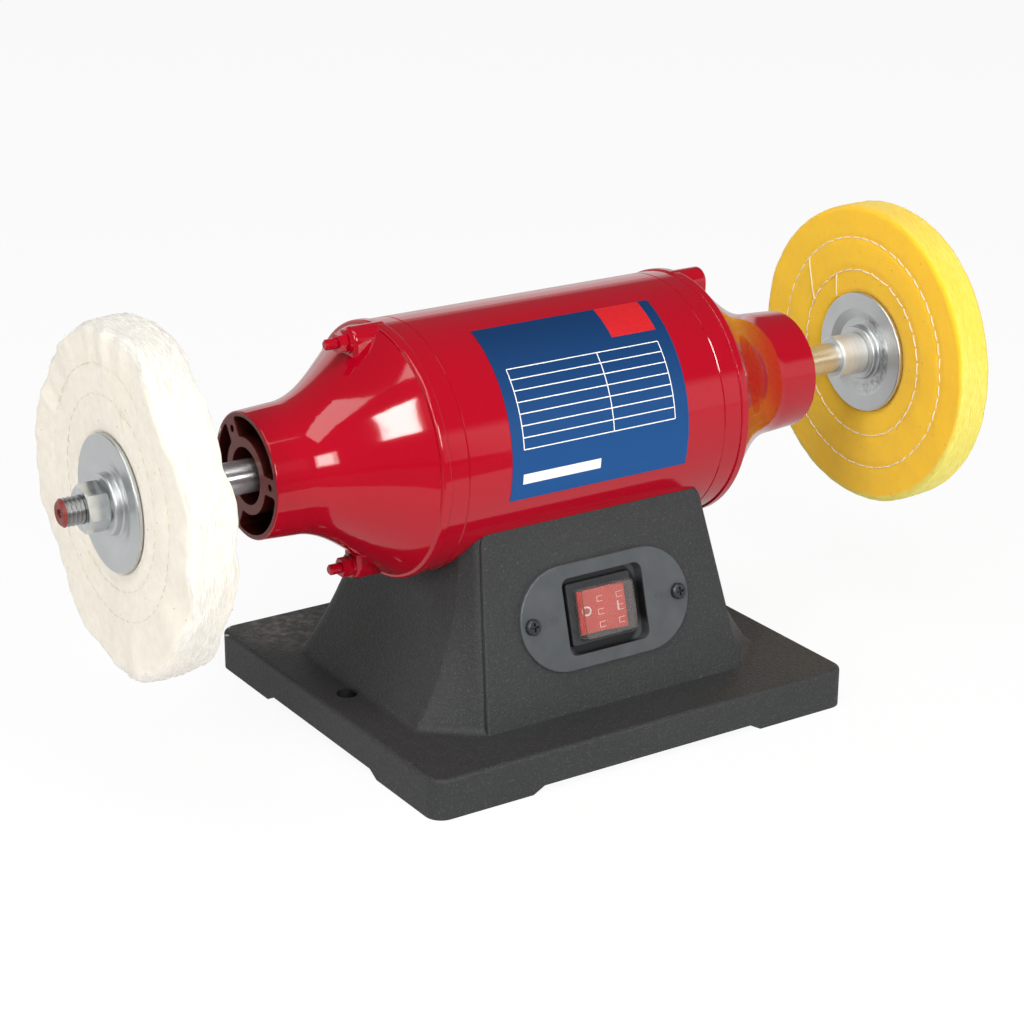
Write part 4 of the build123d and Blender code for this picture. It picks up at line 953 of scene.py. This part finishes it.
def wander(angle, waves, seed):
    """Noise round the wheel that meets itself, with about that many waves in a turn."""
    spread = waves / (2 * pi)
    return noise.noise(Vector((spread * cos(angle), spread * sin(angle), seed)))


def cotton_wheel(name, faces, pinch, runs, cloth, steps, material, replaced):
    """Sewn stack of cotton leaves between two face stations, in mm, gripped between two others."""
    low, high = faces
    radius, edge = cloth["radius"], cloth["edge"]
    bore, dish, rim, grip = 6.6, 17.4, 22.4, 30.7
    dish_depth, lip, spring = 1.5, 0.8, 0.4
    corner = 0.3 * edge
    profile = [
        (pinch[0] + dish_depth, bore),
        (pinch[0] + dish_depth, dish),
        (pinch[0], rim),
        (pinch[0], grip),
        (pinch[0] + spring * (low - pinch[0]), grip + lip),
        (low, grip + runs[0]),
        (low, radius - edge),
        (low + corner, radius - corner),
        (low + edge, radius),
        (high - edge, radius),
        (high - corner, radius - corner),
        (high, radius - edge),
        (high, grip + runs[1]),
        (pinch[1] + spring * (high - pinch[1]), grip + lip),
        (pinch[1], grip),
        (pinch[1], rim),
        (pinch[1] - dish_depth, dish),
        (pinch[1] - dish_depth, bore),
    ]
    bm = bmesh.new()
    points = [bm.verts.new((station, 0, height)) for station, height in profile]
    loop = [bm.edges.new(pair) for pair in zip(points, points[1:] + points[:1])]
    # Lines of the outline are numbered from the bore, and those of loose cloth are cut finer
    cuts = {4: 8, 5: 22, 6: 3, 7: 4, 8: cloth["rim_cuts"], 9: 4, 10: 3, 11: 22, 12: 8}
    for index, count in cuts.items():
        bmesh.ops.subdivide_edges(bm, edges=[loop[index]], cuts=count)
    bmesh.ops.spin(
        bm,
        geom=bm.verts[:] + bm.edges[:],
        cent=(0, 0, 0),
        axis=(1, 0, 0),
        angle=2 * pi,
        steps=steps,
        use_merge=True,
    )
    bmesh.ops.remove_doubles(bm, verts=bm.verts, dist=0.0001)
    bmesh.ops.recalc_face_normals(bm, faces=bm.faces)
    middle = (low + high) / 2
    for vertex in bm.verts:
        station, y, z = vertex.co
        height = hypot(y, z)
        angle = atan2(z, -y)
        vertex.co = ruffled(station, height, angle, middle, high - low, radius, cloth)
    for face in bm.faces:
        face.smooth = True
    bmesh.ops.translate(bm, vec=(0, 0, spindle_height), verts=bm.verts)
    bmesh.ops.scale(bm, vec=(0.001, 0.001, 0.001), verts=bm.verts)
    wheel = piece_from(bm, name, material)
    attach(wheel, "spindle")
    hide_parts(replaced)
    return wheel


def ruffled(station, height, angle, middle, width, radius, cloth):
    """Where a point of a wheel's smooth shape lies once its leaves have spread and frayed."""
    seed, waves, swing = cloth["seed"], cloth["waves"], cloth["swing"]
    free_from, flange_edge, slack_size, pull_width = 46, 33, 11, 1.5
    side = 1 if station > middle else -1
    loose = smooth(height, free_from, radius)
    rim = smooth(height, radius - cloth["edge"], radius - 1)
    # Leaves swing sideways together near the rim
    station += loose * swing * wander(angle, waves, seed)
    station += loose * 0.4 * swing * wander(angle, waves * 3, seed + 9 + station * 0.05)
    # Each leaf ends at its own radius, with a groove to the next
    place = (station - middle) / cloth["leaf"]
    place += cloth["weave"] * wander(angle, 40, seed + station * 0.25)
    leaf = floor(place)
    groove = abs(place - leaf - 0.5) * 2
    height += loose * cloth["scallop"] * wander(angle, waves, seed + 30 + station * 0.04)
    height += rim * cloth["fray"] * wander(angle, 90, seed + leaf * 3.7)
    height -= rim * cloth["groove"] * groove**3
    # The outer leaf lies over slack layers, and is drawn in along its two rows of stitches
    y, z = -height * cos(angle), height * sin(angle) - loose * cloth["sag"]
    if abs(station - middle) > width * 0.35 and height > flange_edge:
        slack = noise.noise(Vector((y / slack_size, z / slack_size, seed + side)))
        station += side * cloth["slack"] * slack
        ring = hypot(y, z - cloth["lift"])
        for row in cloth["rows"]:
            station -= side * cloth["draw"] * exp(-(((ring - row) / pull_width) ** 2))
    return Vector((station, y, z))


def tubes(name, lines, thickness, sides, material):
    """Round threads along lines of points in mm, as one mesh that turns with the spindle."""
    curve = bpy.data.curves.new(name, "CURVE")
    curve.dimensions = "3D"
    curve.bevel_depth = thickness / 2000
    curve.bevel_resolution = sides
    curve.use_fill_caps = True
    for line in lines:
        spline = curve.splines.new("POLY")
        spline.points.add(len(line) - 1)
        for point, (x, y, z) in zip(spline.points, line):
            point.co = (x / 1000, y / 1000, (z + spindle_height) / 1000, 1)
    made = piece_of(meshed(name, curve), name, material)
    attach(made, "spindle")
    return made


def stitch_lines(faces, sunk, rows, lift, length, gap, dice):
    """Arched stitches in rings on both faces, sunk in the cloth and lifted off the axis, in mm."""
    arch, points = 0.5, 6
    sides = ((faces[0] + sunk, -1), (faces[1] - sunk, 1))
    lines = []
    for row, (station, side) in [(row, side) for row in rows for side in sides]:
        count = round(2 * pi * row / (length + gap))
        for index in range(count):
            start = 2 * pi * index / count
            sweep = length / row * dice.uniform(0.9, 1.0)
            drift = dice.uniform(-0.35, 0.35)
            line = []
            for step in range(points):
                share = step / (points - 1)
                angle = start + sweep * share
                out = station + side * (arch * sin(pi * share) - arch / 2)
                reach = row + drift * (share - 0.5) * 2
                line.append((out, -reach * cos(angle), lift + reach * sin(angle)))
            lines.append(line)
    return lines


def straight_run(station, side, start, end, sink=0.0):
    """Thread laid straight across a face between two (radius, degrees) points, sinking in."""
    arch, points, rise = 0.4, 9, 6
    ends_at = [(r * -cos(radians(a)), r * sin(radians(a))) for r, a in (start, end)]
    line = []
    for step in range(points):
        share = step / (points - 1)
        y, z = (a + (b - a) * share for a, b in zip(*ends_at))
        out = arch * min(1, rise * share, rise - rise * share) - arch / 2 - sink * share
        line.append((station + side * out, y, z))
    return line


def loose_fibres(faces, radius, count, length, dice):
    """Frayed threads that stand off the rim, as bent lines in mm."""
    points = 5
    lines = []
    for _ in range(count):
        angle = dice.uniform(0, 2 * pi)
        station = dice.uniform(faces[0] - 0.5, faces[1] + 0.5)
        reach = radius - 1.2 + dice.uniform(-0.6, 0.4)
        long = length * dice.uniform(0.4, 1.3)
        around = dice.uniform(-1, 1)
        sideways = dice.uniform(-0.7, 0.7)
        out = dice.uniform(0.15, 0.55)
        bend = dice.uniform(-0.6, 0.6)
        line = []
        for step in range(points):
            share = step / (points - 1)
            far = long * share
            turn = angle + far * around * (1 - 0.3 * share) / radius
            high = reach + far * out * (1 - 0.45 * share)
            line.append(
                (station + far * (sideways + bend * share), -high * cos(turn), high * sin(turn))
            )
        lines.append(line)
    return lines


def cotton(name, radius, edge_width, face_colours, rim_colours, fleck, fleck_share):
    """Woven cotton: mottled faces, a combed rim and small seed flecks; sizes are in mm."""
    material, tree, shader, place = finish(
        name,
        {"Roughness": 0.9, "Specular IOR Level": 0.2, "Sheen Weight": 0.25, "Sheen Roughness": 0.5},
    )
    streak_size, streak_depth, mottle_size, fleck_spacing = 0.7, 0.25, 4, 5.5
    _, offset, reach = from_spindle(tree, place)
    edge = add(
        tree,
        "ShaderNodeMapRange",
        {
            "Value": reach,
            "From Min": (radius - edge_width) / 1000,
            "From Max": (radius - edge_width / 3) / 1000,
        },
    )
    combed = add(tree, "ShaderNodeMapping", {"Vector": place, "Scale": (1, 0.14, 0.14)})
    streaks = add(
        tree,
        "ShaderNodeTexNoise",
        {
            "Vector": combed.outputs[0],
            "Scale": 1000 / streak_size,
            "Detail": 4.0,
            "Distortion": 0.4,
        },
    )
    mottle = add(
        tree, "ShaderNodeTexNoise", {"Vector": place, "Scale": 1000 / mottle_size, "Detail": 4.0}
    )
    face = add(
        tree,
        "ShaderNodeMix",
        {0: mottle.outputs["Fac"], 6: srgb(face_colours[0]), 7: srgb(face_colours[1])},
        data_type="RGBA",
    )
    sharp = add(
        tree,
        "ShaderNodeMapRange",
        {"Value": streaks.outputs["Fac"], "From Min": 0.3, "From Max": 0.6},
    )
    rim = add(
        tree,
        "ShaderNodeMix",
        {0: sharp.outputs["Result"], 6: srgb(rim_colours[0]), 7: srgb(rim_colours[1])},
        data_type="RGBA",
    )
    # One cell in a few holds a fleck of seed husk
    cells = add(tree, "ShaderNodeTexVoronoi", {"Vector": offset, "Scale": 1000 / fleck_spacing})
    chosen = add(tree, "ShaderNodeSeparateColor", {0: cells.outputs["Color"]})
    picked = add(
        tree, "ShaderNodeMath", {0: chosen.outputs[0], 1: 1 - fleck_share}, operation="GREATER_THAN"
    )
    seed_dot = add(
        tree,
        "ShaderNodeMapRange",
        {
            "Value": cells.outputs["Distance"],
            "From Min": 0.03,
            "From Max": 0.09,
            "To Min": 0.75,
            "To Max": 0.0,
        },
    )
    flecks = add(
        tree,
        "ShaderNodeMath",
        {0: picked.outputs[0], 1: seed_dot.outputs["Result"]},
        operation="MULTIPLY",
    )
    flecked = add(
        tree,
        "ShaderNodeMix",
        {0: flecks.outputs[0], 6: face.outputs[2], 7: srgb(fleck)},
        data_type="RGBA",
    )
    cloth = add(
        tree,
        "ShaderNodeMix",
        {0: edge.outputs["Result"], 6: flecked.outputs[2], 7: rim.outputs[2]},
        data_type="RGBA",
    )
    # Threads lie about 0.4 mm apart, drawn 1.8 mm apart so that they show; a wave texture of
    # scale 1 repeats 20 times in 2 pi metres
    thread_spacing, weave_depth = 1.7671, 0.03
    warp, weft = (
        add(
            tree,
            "ShaderNodeTexWave",
            {"Vector": place, "Scale": 1000 / thread_spacing * 2 * pi / 20, "Distortion": 1.0},
            bands_direction=way,
        ).outputs["Fac"]
        for way in ("Y", "Z")
    )
    woven = add(tree, "ShaderNodeMath", {0: warp, 1: weft}, operation="ADD")
    weave_relief = add(
        tree, "ShaderNodeBump", {"Height": woven.outputs[0], "Distance": weave_depth / 1000}
    )
    streak_relief = add(
        tree,
        "ShaderNodeBump",
        {
            "Height": streaks.outputs["Fac"],
            "Strength": edge.outputs["Result"],
            "Distance": streak_depth / 1000,
            "Normal": weave_relief.outputs["Normal"],
        },
    )
    tree.links.new(cloth.outputs[2], shader.inputs["Base Color"])
    tree.links.new(streak_relief.outputs["Normal"], shader.inputs["Normal"])
    return material


# Unbleached cotton: cream faces with brown flecks, and a greyer frayed rim
white_cotton = cotton(
    "unbleached_cotton_sheeting",
    radius=77.0,
    edge_width=3.6,
    face_colours=("#e8dfcd", "#f8f2e6"),
    rim_colours=("#d6d0c5", "#eae6de"),
    fleck="#8d6a41",
    fleck_share=0.16,
)
# Thread and fibres: dull like the cloth, and close to it in colour
white_thread = grained("cream_cotton_thread", ("#e6dcc8", "#efe6d6"), 0.8, (0.8, 0.9), 0.05, {})
white_fibre = grained("loose_white_cotton", ("#f3efe6", "#fbf9f4"), 1.0, (0.85, 0.95), 0.02, {})
fibre_thickness = 0.12
white_radius = 76.8
white_faces = (-213.5, -190.5)
white_rows = (43.0, 56.0)
white_lift = 4.5
cotton_wheel(
    "white_cotton_wheel",
    faces=white_faces,
    pinch=(-211.9, -203.3),
    runs=(5.0, 14.0),
    cloth={
        "radius": white_radius,
        "edge": 3.4,
        "rim_cuts": 90,
        "seed": 3.1,
        "swing": 4.0,
        "waves": 15,
        "leaf": 1.25,
        "weave": 0.9,
        "scallop": 3.4,
        "fray": 0.5,
        "groove": 0.35,
        "slack": 0.4,
        "rows": white_rows,
        "lift": white_lift,
        "sag": 0,
        "draw": 0.4,
    },
    steps=320,
    material=white_cotton,
    replaced="white_wheel",
)
dice = Random(7)
white_lines = stitch_lines(
    white_faces, sunk=0.2, rows=white_rows, lift=white_lift, length=4.6, gap=1.4, dice=dice
)
white_lines.append(straight_run(white_faces[0], -1, (66.5, 65), (54.8, 53)))
white_lines.append(straight_run(white_faces[0], -1, (48.2, 73.5), (39.6, 62)))
tubes("white_wheel_stitches", white_lines, 0.4, 1, white_thread)
white_fray = loose_fibres(white_faces, white_radius, count=260, length=3.4, dice=dice)
tubes("white_wheel_fibres", white_fray, fibre_thickness, 0, white_fibre)

# Yellow wheel: leaves of dyed cotton, treated stiff and sewn in two rings, so its edges stay neat.
# White thread crosses the face between the rings where the sewing starts and ends.
# Dyed cotton: warm yellow faces, and a paler, greener rim of cut edges
yellow_cotton = cotton(
    "dyed_yellow_cotton",
    radius=76.0,
    edge_width=2.2,
    face_colours=("#fdc322", "#ffcf30"),
    rim_colours=("#e2d04b", "#ecdf70"),
    fleck="#a8761c",
    fleck_share=0.08,
)
# Thread and fibres: a dull off-white thread, and fibres of the rim's yellow
yellow_thread = grained("white_cotton_thread", ("#e6dcc4", "#f4eddb"), 0.8, (0.75, 0.9), 0.05, {})
yellow_fibre = grained("loose_yellow_cotton", ("#ead04a", "#f5e26a"), 1.0, (0.85, 0.95), 0.02, {})
yellow_radius = 75.9
yellow_faces = (201.0, 219.5)
yellow_rows = (42.5, 59.0)
yellow_lift = -0.8
cotton_wheel(
    "yellow_cotton_wheel",
    faces=yellow_faces,
    pinch=(203.3, 211.9),
    runs=(15.0, 12.0),
    cloth={
        "radius": yellow_radius,
        "edge": 2.0,
        "rim_cuts": 90,
        "seed": 21.4,
        "swing": 0.8,
        "waves": 9,
        "leaf": 0.95,
        "weave": 0.5,
        "scallop": 1.0,
        "fray": 0.3,
        "groove": 0.18,
        "slack": 0.3,
        "rows": yellow_rows,
        "lift": yellow_lift,
        "sag": 1.5,
        "draw": 0.5,
    },
    steps=320,
    material=yellow_cotton,
    replaced="yellow_wheel",
)
dice = Random(11)
yellow_lines = stitch_lines(
    yellow_faces, sunk=0.4, rows=yellow_rows, lift=yellow_lift, length=6.0, gap=1.0, dice=dice
)
yellow_lines.append(straight_run(yellow_faces[0], -1, (58, 138), (42, 154.5), 0.3))
yellow_lines.append(straight_run(yellow_faces[0] + 0.3, -1, (42, 120.5), (32.5, 132), 0.9))
tubes("yellow_wheel_stitches", yellow_lines, 0.7, 1, yellow_thread)
yellow_fray = loose_fibres(yellow_faces, yellow_radius - 0.1, count=220, length=2.2, dice=dice)
tubes("yellow_wheel_fibres", yellow_fray, fibre_thickness, 0, yellow_fibre)
